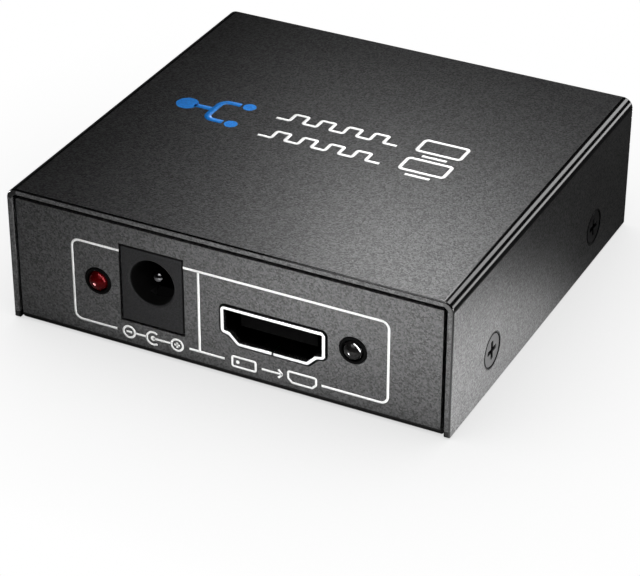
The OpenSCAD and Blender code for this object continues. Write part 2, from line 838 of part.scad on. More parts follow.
module power_jack_housing() {
    slot_x = spring_slot_w / 2;
    slot_front = spring_tip_y - 2 * spring_gap;
    slot_back = sleeve_terminal_y + terminal_t + seat_gap;
    slot_top = sleeve_terminal_top + spring_gap;
    color(black_plastic) at_front(jack_x) difference() {
        union() {
            box([-jack_w / 2, 0, 0], [jack_w / 2, jack_face_d, jack_h]);
            box([-jack_w / 2, 0, 0], [jack_w / 2, jack_d, jack_axis_h]);
            translate([0, 0, jack_axis_h]) rod_y(jack_w - 2 * barrel_inset, 0, jack_d);
        }
        translate([0, 0, jack_axis_h]) {
            rod_y(jack_bore_d, -over, jack_bore_l);
            rotate([-90, 0, 0])
                cylinder(d1 = jack_bore_d + 2 * jack_chamfer, d2 = jack_bore_d, h = jack_chamfer);
            rod_y(pin_root_d + 2 * seat_gap, 0, jack_d + over);
        }
        box([-slot_x, slot_front, jack_floor], [slot_x, jack_bore_l, jack_axis_h]);
        box([-slot_x, slot_front, jack_floor], [slot_x, slot_back, slot_top]);
        sleeve_blade(seat_gap);
        switch_blade(seat_gap);
        switch_finger(seat_gap);
    }
}

// The pin's flat terminal, down the back of the housing and through the board
module pin_terminal(gap) {
    box([-pin_terminal_w / 2 - gap, jack_d - gap, -board_t - terminal_stick],
        [pin_terminal_w / 2 + gap, jack_d + terminal_t + gap, jack_axis_h + pin_terminal_w / 2]);
}

module power_jack_centre_pin() {
    color(nickel) at_front(jack_x) {
        translate([0, 0, jack_axis_h]) {
            translate([0, jack_bore_l, 0]) rotate([90, 0, 0]) domed_rod(pin_d, jack_bore_l - pin_recess);
            rod_y(pin_root_d, jack_bore_l, jack_d + terminal_t);
        }
        pin_terminal(0);
    }
}

// The springy arm that presses on a plug's sleeve, with a round root on its bending axis
module power_jack_sleeve_spring() {
    color(nickel) at_front(jack_x) {
        slab_x(-spring_w / 2, spring_w / 2) polygon(strip(spring_line, spring_t));
        translate([0, spring_root_y, spring_root_h]) rod_x(2 * spring_root_r, -spring_w / 2, spring_w / 2);
    }
}

module sleeve_blade(gap) {
    box([-spring_w / 2 - gap, sleeve_terminal_y - gap, -board_t - terminal_stick],
        [spring_w / 2 + gap, sleeve_terminal_y + terminal_t + gap, sleeve_terminal_top]);
}

module power_jack_sleeve_terminal() {
    color(nickel) at_front(jack_x) sleeve_blade(0);
}

module switch_blade(gap) {
    box([switch_x - gap, switch_y - switch_w / 2 - gap, -board_t - terminal_stick],
        [switch_x + terminal_t + gap, switch_y + switch_w / 2 + gap, switch_finger_z + spring_t + gap]);
}

module switch_finger(gap) {
    box([-switch_reach, switch_y - switch_finger_w / 2 - gap, switch_finger_z - gap],
        [switch_x + terminal_t, switch_y + switch_finger_w / 2 + gap, switch_finger_z + spring_t + gap]);
}

module power_jack_switch_contact() {
    color(nickel) at_front(jack_x) {
        switch_blade(0);
        switch_finger(0);
    }
}

// Lamps

module lamp_opening() {
    translate([0, 0, lamp_axis_h]) rod_y(lamp_collar_d + 2 * collar_gap, -over, sheet_t + over);
}

module lamp_holder() {
    color(black_plastic) difference() {
        union() {
            box([-holder_w / 2, holder_y, 0], [holder_w / 2, holder_back, lamp_axis_h + holder_w / 2]);
            translate([0, 0, lamp_axis_h]) rod_y(lamp_collar_d, -lamp_collar_proud, holder_back);
        }
        translate([0, 0, lamp_axis_h]) {
            rod_y(lens_d + 2 * seat_gap, -over, holder_back + over);
            rod_y(lens_rim_d + 2 * seat_gap, lens_back - lens_rim_t - seat_gap, holder_back + over);
        }
    }
}

module lamp_lens(tint) {
    color(tint) translate([0, lens_back, lamp_axis_h]) rotate([90, 0, 0]) {
        domed_rod(lens_d, lens_l);
        cylinder(d = lens_rim_d, h = lens_rim_t);
    }
}

module lamp_lead_drops(gap) {
    for (side = [-1, 1])
        translate([side * lead_pitch / 2, lead_y, 0])
            box([-lead_t / 2 - gap, -gap, -board_t - lead_stick],
                [lead_t / 2 + gap, lead_t + gap, lamp_axis_h + lead_t / 2]);
}

module lamp_leads() {
    color(tin) {
        lamp_lead_drops(0);
        for (side = [-1, 1])
            translate([side * lead_pitch / 2, 0, lamp_axis_h])
                box([-lead_t / 2, lens_back, -lead_t / 2], [lead_t / 2, lead_y + lead_t, lead_t / 2]);
    }
}

// Chips and other board parts

module chip_body(size, t) {
    mark = chip_mark_d;
    difference() {
        translate([-size.x / 2, -size.y / 2, chip_lift]) cube([size.x, size.y, t]);
        translate([mark - size.x / 2, size.y / 2 - mark, chip_lift + t - chip_mark_depth])
            cylinder(d = mark, h = chip_mark_depth + over);
    }
}

// A bent lead w wide that leaves a body's side at x = 0
module chip_lead(w) {
    heel = chip_lead_out - chip_lead_foot;
    slab_y(-w / 2, w / 2) polygon([
        [0, chip_lead_z], [heel, chip_lead_z], [heel, 0], [chip_lead_out, 0],
        [chip_lead_out, chip_lead_t], [heel + chip_lead_t, chip_lead_t],
        [heel + chip_lead_t, chip_lead_z + chip_lead_t], [0, chip_lead_z + chip_lead_t]
    ]);
}

// A row of n leads along the side of a body that lies half a width from the middle
module chip_lead_row(half, n, pitch, w) {
    for (i = [0 : n - 1])
        translate([half, (i - (n - 1) / 2) * pitch, 0]) chip_lead(w);
}

module splitter_chip() {
    color(black_plastic) on_board(splitter_at) chip_body([splitter_w, splitter_w], splitter_t);
}

module splitter_chip_leads() {
    color(tin) on_board(splitter_at)
        for (turn = [0 : 90 : 270])
            rotate([0, 0, turn]) chip_lead_row(splitter_w / 2, splitter_n, splitter_pitch, chip_lead_w);
}

module control_chip() {
    color(black_plastic) on_board(control_at) chip_body(control_size, control_t);
}

module control_chip_leads() {
    color(tin) on_board(control_at)
        for (turn = [0, 180])
            rotate([0, 0, turn]) chip_lead_row(control_size.x / 2, control_n, control_pitch, chip_lead_w);
}

module voltage_regulators() {
    color(black_plastic)
        for (at = regulators_at)
            on_board(at) chip_body(regulator_size, regulator_t);
}

module voltage_regulator_leads() {
    color(tin)
        for (at = regulators_at)
            on_board(at) {
                chip_lead_row(regulator_size.x / 2, regulator_n, regulator_pitch, regulator_lead_w);
                rotate([0, 0, 180]) chip_lead_row(regulator_size.x / 2, 1, 0, regulator_tab_w);
            }
}

module crystal_can() {
    straight = crystal_size.x - crystal_size.y;
    color(steel) on_board(crystal_at) linear_extrude(crystal_size.z) {
        translate([-straight / 2, -crystal_size.y / 2]) square([straight, crystal_size.y]);
        for (side = [0, 1], half = [0, 1])
            mirror([side, 0]) mirror([0, half]) translate([straight / 2, 0]) quarter(crystal_size.y / 2);
    }
}

module crystal_wires(gap) {
    for (side = [-1, 1])
        translate([side * crystal_pitch / 2, 0, -board_t - lead_stick])
            cylinder(d = crystal_lead_d + gap, h = board_t + lead_stick);
}

module crystal_leads() {
    color(tin) on_board(crystal_at) crystal_wires(0);
}

module filter_capacitor_bases() {
    color(black_plastic)
        for (x = capacitors_x)
            on_board([x, capacitor_y]) translate([-capacitor_base_w / 2, -capacitor_base_w / 2, 0])
                cube([capacitor_base_w, capacitor_base_w, capacitor_base_t]);
}

module filter_capacitor_cans() {
    color(steel)
        for (x = capacitors_x)
            on_board([x, capacitor_y]) translate([0, 0, capacitor_base_t])
                cylinder(d = capacitor_d, h = capacitor_h);
}

module power_inductor() {
    color(ferrite) on_board([inductor_x, inductor_y]) difference() {
        translate([-inductor_w / 2, -inductor_w / 2, 0]) cube([inductor_w, inductor_w, inductor_h]);
        translate([0, 0, inductor_h - inductor_window_h]) difference() {
            cylinder(d = inductor_window_d, h = inductor_window_h + over);
            translate([0, 0, -over]) cylinder(d = inductor_core_d, h = inductor_window_h + over);
        }
    }
}

module protection_diode() {
    color(black_plastic) on_board(diode_at)
        translate([-diode_size.x / 2, -diode_size.y / 2, chip_lift]) cube(diode_size);
}

module protection_diode_leads() {
    color(tin) on_board(diode_at)
        for (turn = [0, 180])
            rotate([0, 0, turn]) chip_lead_row(diode_size.x / 2, 1, 0, diode_lead_w);
}

// A row of n small blocks that lie across X
module chip_row(at, n, size) {
    for (i = [0 : n - 1])
        on_board(at + [0, i * chip_row_pitch]) translate([-size.x / 2, -size.y / 2, 0]) cube(size);
}

module chip_resistors() {
    color(ferrite) chip_row(chip_rows_at[0], resistor_n, resistor_size);
}

module chip_capacitors() {
    color(ceramic) chip_row(chip_rows_at[1], chip_capacitor_n, chip_capacitor_size);
}

module surge_protectors() {
    color(black_plastic) at_each_socket()
        for (side = [-1, 1])
            translate([side * surge_x - surge_size.x / 2, socket_back + contact_foot + surge_gap, 0])
                cube(surge_size);
}

top_cover();
base_tray();
cover_screws();
board_standoffs();
board_screws();
circuit_board();
at_front(input_x) socket_shell();  // input_socket_shell
at_front(input_x) socket_insulator();  // input_socket_insulator
at_front(input_x) socket_contacts();  // input_socket_contacts
at_back(output_1_x) socket_shell();  // output_1_socket_shell
at_back(output_1_x) socket_insulator();  // output_1_socket_insulator
at_back(output_1_x) socket_contacts();  // output_1_socket_contacts
at_back(output_2_x) socket_shell();  // output_2_socket_shell
at_back(output_2_x) socket_insulator();  // output_2_socket_insulator
at_back(output_2_x) socket_contacts();  // output_2_socket_contacts
power_jack_housing();
power_jack_centre_pin();
power_jack_sleeve_spring();
power_jack_sleeve_terminal();
power_jack_switch_contact();
at_front(power_lamp_x) lamp_lens(red_lens);  // power_lamp_lens
at_front(power_lamp_x) lamp_holder();  // power_lamp_holder
at_front(power_lamp_x) lamp_leads();  // power_lamp_leads
at_front(signal_lamp_x) lamp_lens(smoke_lens);  // signal_lamp_lens
at_front(signal_lamp_x) lamp_holder();  // signal_lamp_holder
at_front(signal_lamp_x) lamp_leads();  // signal_lamp_leads
at_back(output_1_lamp_x) lamp_lens(smoke_lens);  // output_1_lamp_lens
at_back(output_1_lamp_x) lamp_holder();  // output_1_lamp_holder
at_back(output_1_lamp_x) lamp_leads();  // output_1_lamp_leads
at_back(output_2_lamp_x) lamp_lens(smoke_lens);  // output_2_lamp_lens
at_back(output_2_lamp_x) lamp_holder();  // output_2_lamp_holder
at_back(output_2_lamp_x) lamp_leads();  // output_2_lamp_leads
splitter_chip();
splitter_chip_leads();
control_chip();
control_chip_leads();
voltage_regulators();
voltage_regulator_leads();
crystal_can();
crystal_leads();
filter_capacitor_cans();
filter_capacitor_bases();
power_inductor();
protection_diode();
protection_diode_leads();
chip_resistors();
chip_capacitors();
surge_protectors();
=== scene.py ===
import math

import bpy
from mathutils import Matrix, Vector


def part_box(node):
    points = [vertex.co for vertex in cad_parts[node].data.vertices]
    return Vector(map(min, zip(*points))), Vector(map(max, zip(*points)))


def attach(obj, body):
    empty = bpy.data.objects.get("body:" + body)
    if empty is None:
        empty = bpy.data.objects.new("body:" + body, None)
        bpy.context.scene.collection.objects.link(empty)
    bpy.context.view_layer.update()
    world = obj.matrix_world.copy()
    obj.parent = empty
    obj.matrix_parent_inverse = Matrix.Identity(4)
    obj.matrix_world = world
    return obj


# Dresses a digital video splitter: powder-coated folded steel, plated sockets, tinted lamps and
# screen-printed marks, on a pale floor in soft light. Lengths are metres in the part's own frame,
# but for the drawings of the print, whose points and widths are millimetres.

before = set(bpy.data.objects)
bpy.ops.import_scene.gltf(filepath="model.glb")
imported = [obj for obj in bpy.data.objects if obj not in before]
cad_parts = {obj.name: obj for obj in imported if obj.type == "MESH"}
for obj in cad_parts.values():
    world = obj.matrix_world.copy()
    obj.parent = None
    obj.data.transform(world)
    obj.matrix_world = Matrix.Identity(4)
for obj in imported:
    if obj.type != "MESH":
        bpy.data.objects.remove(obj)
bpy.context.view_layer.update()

MM = 0.001

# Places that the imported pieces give
COVER_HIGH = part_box("top_cover")[1]
BASE_LOW, BASE_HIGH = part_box("base_tray")
JACK_LOW, JACK_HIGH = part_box("power_jack_housing")
SCREW_LOW, SCREW_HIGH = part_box("cover_screws")
SHELL_FRONT = -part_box("input_socket_shell")[0][1]
SOCKETS = ("input_socket", "output_1_socket", "output_2_socket")
LAMPS = ("power_lamp", "signal_lamp", "output_1_lamp", "output_2_lamp")


# Node trees

# A share that grows, or shrinks, along a span
RISING = (0.0, 1.0)
FALLING = (1.0, 0.0)


def add_node(tree, kind, inputs=None, **settings):
    """Adds a node, sets its properties, and sets or links its inputs by name or by number."""
    made = tree.nodes.new(kind)
    for name, value in settings.items():
        setattr(made, name, value)
    for key, value in (inputs or {}).items():
        if isinstance(value, bpy.types.NodeSocket):
            tree.links.new(value, made.inputs[key])
        else:
            made.inputs[key].default_value = value
    return made


def calculate(tree, operation, *terms):
    """A Math node's result."""
    return add_node(tree, "ShaderNodeMath", dict(enumerate(terms)), operation=operation).outputs[0]


def remap(tree, value, old, new):
    """A value carried from one span to another, and held inside it."""
    spans = {"Value": value, "From Min": old[0], "From Max": old[1], "To Min": new[0], "To Max": new[1]}
    return add_node(tree, "ShaderNodeMapRange", spans).outputs[0]


def split(tree, vector):
    """A vector's parts, by the names X, Y and Z."""
    return add_node(tree, "ShaderNodeSeparateXYZ", {0: vector}).outputs


def distance(tree, first, second):
    """The distance from an axis, from the reach along two ways across it."""
    squares = [calculate(tree, "MULTIPLY", way, way) for way in (first, second)]
    return calculate(tree, "SQRT", calculate(tree, "ADD", *squares))


def new_group(kind, title, inputs, outputs):
    """An empty node group with named sockets, and its input and output nodes."""
    group = bpy.data.node_groups.new(title, kind)
    for name, (socket_type, value) in inputs.items():
        socket = group.interface.new_socket(name=name, in_out="INPUT", socket_type=socket_type)
        if value is not None:
            socket.default_value = value
    for name, socket_type in outputs.items():
        group.interface.new_socket(name=name, in_out="OUTPUT", socket_type=socket_type)
    return group, group.nodes.new("NodeGroupInput"), group.nodes.new("NodeGroupOutput")


# Effects that several finishes share. A grain's relief is nought at CELL_MIDDLE, a share of its size,
# and a tone is the part of a noise inside NOISE_SPAN. ALONG_Y and ALONG_Z are ways that lines run.

GRAIN_SIZE = 0.2 * MM
CELL_MIDDLE = 0.5
PATCH_SIZE = 14 * MM
METAL_PATCH = 4 * MM
EPOXY_FLOW = 2.5 * MM
PATCH_DETAIL, PATCH_ROUGH = 4.0, 0.6
LINE_SIZE = 0.06 * MM
LINE_DETAIL, LINE_ROUGH = 2.0, 0.5
NOISE_SPAN = (0.3, 0.7)
ALONG_Y = (1.0, 30.0, 1.0)
ALONG_Z = (1.0, 1.0, 30.0)


def fine_grain_group():
    """Grains of one size, each with a tone of its own, as on powder coat and moulded plastic."""
    group, given, result = new_group(
        "ShaderNodeTree", "fine grain",
        {"Place": ("NodeSocketVector", None), "Size": ("NodeSocketFloat", GRAIN_SIZE)},
        {"Tone": "NodeSocketFloat", "Height": "NodeSocketFloat"})
    per_metre = calculate(group, "DIVIDE", 1.0, given.outputs["Size"])
    cells = add_node(group, "ShaderNodeTexVoronoi",
                     {"Vector": given.outputs["Place"], "Scale": per_metre}, feature="F1")
    tone = add_node(group, "ShaderNodeSeparateColor", {0: cells.outputs["Color"]}).outputs[0]
    height = calculate(group, "SUBTRACT", CELL_MIDDLE, cells.outputs["Distance"])
    group.links.new(height, result.inputs["Height"])
    group.links.new(tone, result.inputs["Tone"])
    return group


def handling_group():
    """Soft uneven patches left by handling, for roughness and tone."""
    group, given, result = new_group(
        "ShaderNodeTree", "handling",
        {"Place": ("NodeSocketVector", None), "Size": ("NodeSocketFloat", PATCH_SIZE)},
        {"Patches": "NodeSocketFloat"})
    per_metre = calculate(group, "DIVIDE", 1.0, given.outputs["Size"])
    noise = add_node(group, "ShaderNodeTexNoise",
                     {"Vector": given.outputs["Place"], "Scale": per_metre,
                      "Detail": PATCH_DETAIL, "Roughness": PATCH_ROUGH})
    patches = remap(group, noise.outputs["Fac"], NOISE_SPAN, RISING)
    group.links.new(patches, result.inputs["Patches"])
    return group


def drawn_lines_group():
    """Fine lines along one direction, as on drawn and rolled metal. Stretch is longest along them."""
    group, given, result = new_group(
        "ShaderNodeTree", "drawn lines",
        {"Place": ("NodeSocketVector", None), "Size": ("NodeSocketFloat", LINE_SIZE),
         "Stretch": ("NodeSocketVector", ALONG_Y)},
        {"Tone": "NodeSocketFloat", "Height": "NodeSocketFloat"})
    along = add_node(group, "ShaderNodeVectorMath",
                     {0: given.outputs["Place"], 1: given.outputs["Stretch"]}, operation="DIVIDE")
    per_metre = calculate(group, "DIVIDE", 1.0, given.outputs["Size"])
    noise = add_node(group, "ShaderNodeTexNoise",
                     {"Vector": along.outputs[0], "Scale": per_metre,
                      "Detail": LINE_DETAIL, "Roughness": LINE_ROUGH})
    group.links.new(noise.outputs["Fac"], result.inputs["Height"])
    group.links.new(remap(group, noise.outputs["Fac"], NOISE_SPAN, RISING), result.inputs["Tone"])
    return group


FINE_GRAIN = fine_grain_group()
HANDLING = handling_group()
DRAWN_LINES = drawn_lines_group()


# Materials

SHADER_INPUT = {"metallic": "Metallic", "roughness": "Roughness", "coat_roughness": "Coat Roughness",
                "specular": "Specular IOR Level", "specular_tint": "Specular Tint"}
# Numbers of the colour sockets on a Mix node
MIX_FIRST, MIX_SECOND, MIX_RESULT = 6, 7, 2


def start_material(name, **constants):
    """A new material with its shader's plain values set, as (material, tree, shader, place)."""
    material = bpy.data.materials.new(name)
    material.use_nodes = True
    tree = material.node_tree
    shader = tree.nodes["Principled BSDF"]
    for key, value in constants.items():
        shader.inputs[SHADER_INPUT[key]].default_value = value
    place = tree.nodes.new("ShaderNodeTexCoord").outputs["Object"]
    return material, tree, shader, place


def use_group(tree, group, place, **values):
    """A shader group placed in a material, with its own values."""
    made = add_node(tree, "ShaderNodeGroup", node_tree=group)
    tree.links.new(place, made.inputs["Place"])
    for name, value in values.items():
        made.inputs[name].default_value = value
    return made.outputs


def mix_colours(tree, share, first, second):
    """Two colours mixed by a share that changes over the surface."""
    made = add_node(tree, "ShaderNodeMix", {"Factor": share}, data_type="RGBA")
    for key, colour in ((MIX_FIRST, first), (MIX_SECOND, second)):
        if isinstance(colour, bpy.types.NodeSocket):
            tree.links.new(colour, made.inputs[key])
        else:
            made.inputs[key].default_value = (*colour, 1.0)
    return made.outputs[MIX_RESULT]


def feed(tree, shader, values):
    """Links a shader's inputs to values that change over the surface."""
    for name, value in values.items():
        tree.links.new(value, shader.inputs[name])


def set_bump(tree, shader, height, depth):
    """Relief of the given depth on a shader."""
    bump = add_node(tree, "ShaderNodeBump", {"Height": height, "Distance": depth, "Strength": 1.0})
    feed(tree, shader, {"Normal": bump.outputs["Normal"]})


def grey(level):
    """A neutral colour."""
    return (level, level, level)


def grained(name, dark, light, rough, grain, depth, **constants):
    """Plastic, ferrite or ink: grain in tone and relief, and patches in its shine."""
    material, tree, shader, place = start_material(name, **constants)
    fine = use_group(tree, FINE_GRAIN, place, Size=grain)
    patches = use_group(tree, HANDLING, place)["Patches"]
    feed(tree, shader, {"Base Color": mix_colours(tree, fine["Tone"], dark, light),
                        "Roughness": remap(tree, patches, RISING, rough)})
    set_bump(tree, shader, fine["Height"], depth)
    return material


def drawn_metal(name, dark, light, rough, stretch, depth):
    """Rolled or drawn metal: fine lines in tone and relief, and patches in its shine."""
    material, tree, shader, place = start_material(name, metallic=1.0)
    lines = use_group(tree, DRAWN_LINES, place, Stretch=stretch)
    patches = use_group(tree, HANDLING, place, Size=METAL_PATCH)["Patches"]
    feed(tree, shader, {"Base Color": mix_colours(tree, lines["Tone"], dark, light),
                        "Roughness": remap(tree, patches, RISING, rough)})
    set_bump(tree, shader, lines["Height"], depth)
    return material


def tinted_epoxy(name, dark, light, rough, **constants):
    """Tinted resin with faint flow marks and a glossy skin."""
    material, tree, shader, place = start_material(name, **constants)
    flow = use_group(tree, HANDLING, place, Size=EPOXY_FLOW)["Patches"]
    feed(tree, shader, {"Base Color": mix_colours(tree, flow, dark, light),
                        "Roughness": remap(tree, flow, RISING, rough)})
    return material


# The paint of the case, and the countersunk screws in it, with painted shade round and in the screws. A
# pair of shares is the least and the most.

BEND = 1.5 * MM
FOOT_BEND = 1.2 * MM
EDGE = 0.24 * MM
BEND_FADE = 0.06 * MM
BEND_ROUGH = 0.12
PAINT_GRAIN = 0.21 * MM
PAINT_DEPTH = 0.03 * MM
PAINT_SHEEN = 0.35
PAINT_COAT = (0.1, 0.9)
PAINT_ROUGH = (0.34, 0.40)
PAINT_DARK = grey(0.001)
PAINT_LIGHT = (0.034, 0.034, 0.035)
HEAD_RADIUS = (SCREW_HIGH[2] - SCREW_LOW[2]) / 2
SCREW_Y = SCREW_HIGH[1] - HEAD_RADIUS
SCREW_Z = (SCREW_LOW[2] + SCREW_HIGH[2]) / 2
# Painted shadow: a black ring this wide round each cover screw's head, and below it the black used for
# painted shade here and in the screws' cross recesses.
PAINTED_SHADOW_RING = 0.32 * MM
PAINTED_SHADE_BLACK = grey(0.0005)
ZINC_GRAIN = 0.12 * MM
ZINC_DEPTH = 0.004 * MM
ZINC_DARK = grey(0.008)
ZINC_LIGHT = (0.020, 0.020, 0.021)
ZINC_ROUGH = (0.42, 0.55)
ZINC_SPECULAR = 0.1
ZINC_SHEEN = 0.38
ZINC_COAT = 0.75
# Painted shade in the cross recesses begins the first of these depths below the head's face and is full
# at the second.
RECESS_EDGE = 0.06 * MM
RECESS_FULL_SHADE = 0.16 * MM


def smooth_places_and_foot_shade(tree, across, along, height):
    """More than nought on the cover's bends and end edges, and on the bends at the base's foot, where
    the darkening is painted shade.
    """
    outward = calculate(tree, "SUBTRACT", across, COVER_HIGH[0] - BEND)
    upward = calculate(tree, "SUBTRACT", height, COVER_HIGH[2] - BEND)
    bend = calculate(tree, "MINIMUM", outward, upward)
    from_axis = distance(tree, *(calculate(tree, "MAXIMUM", way, 0.0) for way in (outward, upward)))
    edge = calculate(tree, "MINIMUM", calculate(tree, "SUBTRACT", along, COVER_HIGH[1] - EDGE),
                     calculate(tree, "SUBTRACT", from_axis, BEND - EDGE))
    # The base's foot: smooth, and in the darkest tone as painted shade along the floor.
    foot = calculate(tree, "MINIMUM", calculate(tree, "SUBTRACT", FOOT_BEND, height),
                     calculate(tree, "SUBTRACT", along, BASE_HIGH[1] - FOOT_BEND))
    return calculate(tree, "MAXIMUM", calculate(tree, "MAXIMUM", bend, foot), edge)


def painted_screw_shade_places(tree, along, height):
    """Painted shadow: one in the countersinks and in a narrow black ring round each cover screw, and
    nought elsewhere.
    """
    from_screw = distance(tree, calculate(tree, "SUBTRACT", along, SCREW_Y),
                          calculate(tree, "SUBTRACT", height, SCREW_Z))
    rim = HEAD_RADIUS + PAINTED_SHADOW_RING
    return remap(tree, from_screw, (rim, rim + BEND_FADE), FALLING)


def powder_coat():
    """Textured black powder coat, smooth and in its darkest tone on bends and end edges, with painted
    shade along the base's foot and a painted shadow, black and without shine, round the screws.
    """
    material, tree, shader, place = start_material("black powder coat", coat_roughness=PAINT_SHEEN)
    fine = use_group(tree, FINE_GRAIN, place, Size=PAINT_GRAIN)
    patches = use_group(tree, HANDLING, place)["Patches"]
    axes = split(tree, place)
    across, along = (calculate(tree, "ABSOLUTE", axes[name]) for name in ("X", "Y"))
    smooth = smooth_places_and_foot_shade(tree, across, along, axes["Z"])
    textured = remap(tree, smooth, (0.0, BEND_FADE), FALLING)
    # The countersinks and a ring round each screw take a painted shadow: black, metallic and without
    # coat.
    screw_shade = painted_screw_shade_places(tree, along, axes["Z"])
    # Smooth places take the darkest tone; at the base's foot this is painted shade.
    tone = calculate(tree, "MULTIPLY", fine["Tone"], textured)
    painted = mix_colours(tree, tone, PAINT_DARK, PAINT_LIGHT)
    coat = calculate(tree, "MULTIPLY", remap(tree, fine["Tone"], RISING, PAINT_COAT), textured)
    plain = remap(tree, patches, RISING, PAINT_ROUGH)
    feed(tree, shader, {
        "Base Color": mix_colours(tree, screw_shade, painted, PAINTED_SHADE_BLACK),
        "Metallic": screw_shade,
        "Coat Weight": calculate(tree, "MULTIPLY", coat, remap(tree, screw_shade, RISING, FALLING)),
        "Roughness": remap(tree, textured, RISING, (BEND_ROUGH, plain))})
    set_bump(tree, shader, calculate(tree, "MULTIPLY", fine["Height"], textured), PAINT_DEPTH)
    return material


def screw_zinc():
    """Black zinc, with a soft shine on the heads' faces, and painted shade, black and without shine,
    down in the cross recesses.
    """
    material, tree, shader, place = start_material(
        "black zinc", specular=ZINC_SPECULAR, coat_roughness=ZINC_SHEEN)
    fine = use_group(tree, FINE_GRAIN, place, Size=ZINC_GRAIN)
    patches = use_group(tree, HANDLING, place)["Patches"]
    across = calculate(tree, "ABSOLUTE", split(tree, place)["X"])
    # Below the heads' faces, in the cross recesses, the zinc gives way to painted shade.
    face = remap(tree, across, (SCREW_HIGH[0] - RECESS_FULL_SHADE, SCREW_HIGH[0] - RECESS_EDGE), RISING)
    zinc = mix_colours(tree, fine["Tone"], ZINC_DARK, ZINC_LIGHT)
    feed(tree, shader, {
        "Base Color": mix_colours(tree, face, PAINTED_SHADE_BLACK, zinc),
        "Coat Weight": calculate(tree, "MULTIPLY", face, ZINC_COAT),
        "Roughness": remap(tree, patches, RISING, ZINC_ROUGH)})
    set_bump(tree, shader, calculate(tree, "MULTIPLY", fine["Height"], face), ZINC_DEPTH)
    return material


# The jack's plastic and the sockets' plating. JACK_ROUGH is first in the bore, then on the face.

BORE_X = (JACK_LOW[0] + JACK_HIGH[0]) / 2
BORE_Z = JACK_LOW[2] + 6.5 * MM
BORE_RADIUS = 3.2 * MM
BORE_FADE = (BORE_RADIUS + 0.03 * MM, BORE_RADIUS + 0.12 * MM)
# Painted shade: the near black of the bore's walls.
BORE_PAINTED_SHADE = grey(0.0006)
JACK_GRAIN = 0.10 * MM
JACK_DEPTH = 0.002 * MM
JACK_DARK = (0.012, 0.012, 0.0125)
JACK_LIGHT = (0.024, 0.024, 0.025)
JACK_ROUGH = (0.95, 0.55)
JACK_SPECULAR = 0.1
# Painted shade: deeper in than these depths, a socket's plating darkens to a dull grey.
MOUTH_BRIGHT = 0.3 * MM
MOUTH_DEEP = 0.9 * MM
MOUTH_PAINTED_SHADE = grey(0.05)
SHELL_DARK = (0.70, 0.70, 0.71)
SHELL_LIGHT = (0.84, 0.84, 0.85)
SHELL_ROUGH = (0.16, 0.28)
SHELL_DEPTH = 0.001 * MM


def jack_plastic():
    """Black moulded plastic with a fine matt face, and painted shade, near black, down the bore."""
    material, tree, shader, place = start_material("jack plastic", specular=JACK_SPECULAR)
    fine = use_group(tree, FINE_GRAIN, place, Size=JACK_GRAIN)
    axes = split(tree, place)
    from_axis = distance(tree, calculate(tree, "SUBTRACT", axes["X"], BORE_X),
                         calculate(tree, "SUBTRACT", axes["Z"], BORE_Z))
    outside = remap(tree, from_axis, BORE_FADE, RISING)
    face = mix_colours(tree, fine["Tone"], JACK_DARK, JACK_LIGHT)
    feed(tree, shader, {"Base Color": mix_colours(tree, outside, BORE_PAINTED_SHADE, face),
                        "Roughness": remap(tree, outside, RISING, JACK_ROUGH)})
    set_bump(tree, shader, fine["Height"], JACK_DEPTH)
    return material


def socket_nickel():
    """Nickel plating, bright round a socket's mouth, with painted shade deeper in."""
    material, tree, shader, place = start_material("shell nickel", metallic=1.0)
    lines = use_group(tree, DRAWN_LINES, place, Stretch=ALONG_Y)
    patches = use_group(tree, HANDLING, place, Size=METAL_PATCH)["Patches"]
    along = calculate(tree, "ABSOLUTE", split(tree, place)["Y"])
    mouth = remap(tree, along, (SHELL_FRONT - MOUTH_DEEP, SHELL_FRONT - MOUTH_BRIGHT), RISING)
    bright = mix_colours(tree, lines["Tone"], SHELL_DARK, SHELL_LIGHT)
    feed(tree, shader, {"Base Color": mix_colours(tree, mouth, MOUTH_PAINTED_SHADE, bright),
                        "Roughness": remap(tree, patches, RISING, SHELL_ROUGH)})
    set_bump(tree, shader, lines["Height"], SHELL_DEPTH)
    return material


# The board and its small chips. Tracks run along or across a field, or both, by the field's tone.
# MASK_ROUGH is first on plain mask, then over tracks, and CHIP_ROUGH first on bodies, then on caps.

MASK_GREEN = (0.004, 0.050, 0.018)
TRACK_GREEN = (0.012, 0.115, 0.040)
BARE_LAMINATE = (0.30, 0.27, 0.13)
MASK_ROUGH = (0.38, 0.28)
BOARD_SPECULAR = 0.4
EDGE_TURN = (0.4, 0.6)
TRACK_PITCH = 0.9 * MM
TRACK_SHARE = 0.35
TRACK_FADE = 0.06
TRACK_FIELD = 6 * MM
TRACK_DEPTH = 0.02 * MM
FIELDS_ALONG = (0.42, 0.44)
FIELDS_ACROSS = (0.56, 0.58)
CHIP_CAP = 0.3 * MM
CAP_FADE = 0.03 * MM
CAP_TIN = (0.62, 0.62, 0.63)
CHIP_ROUGH = (0.55, 0.30)
CHIP_GRAIN = 0.08 * MM
CHIP_DEPTH = 0.003 * MM


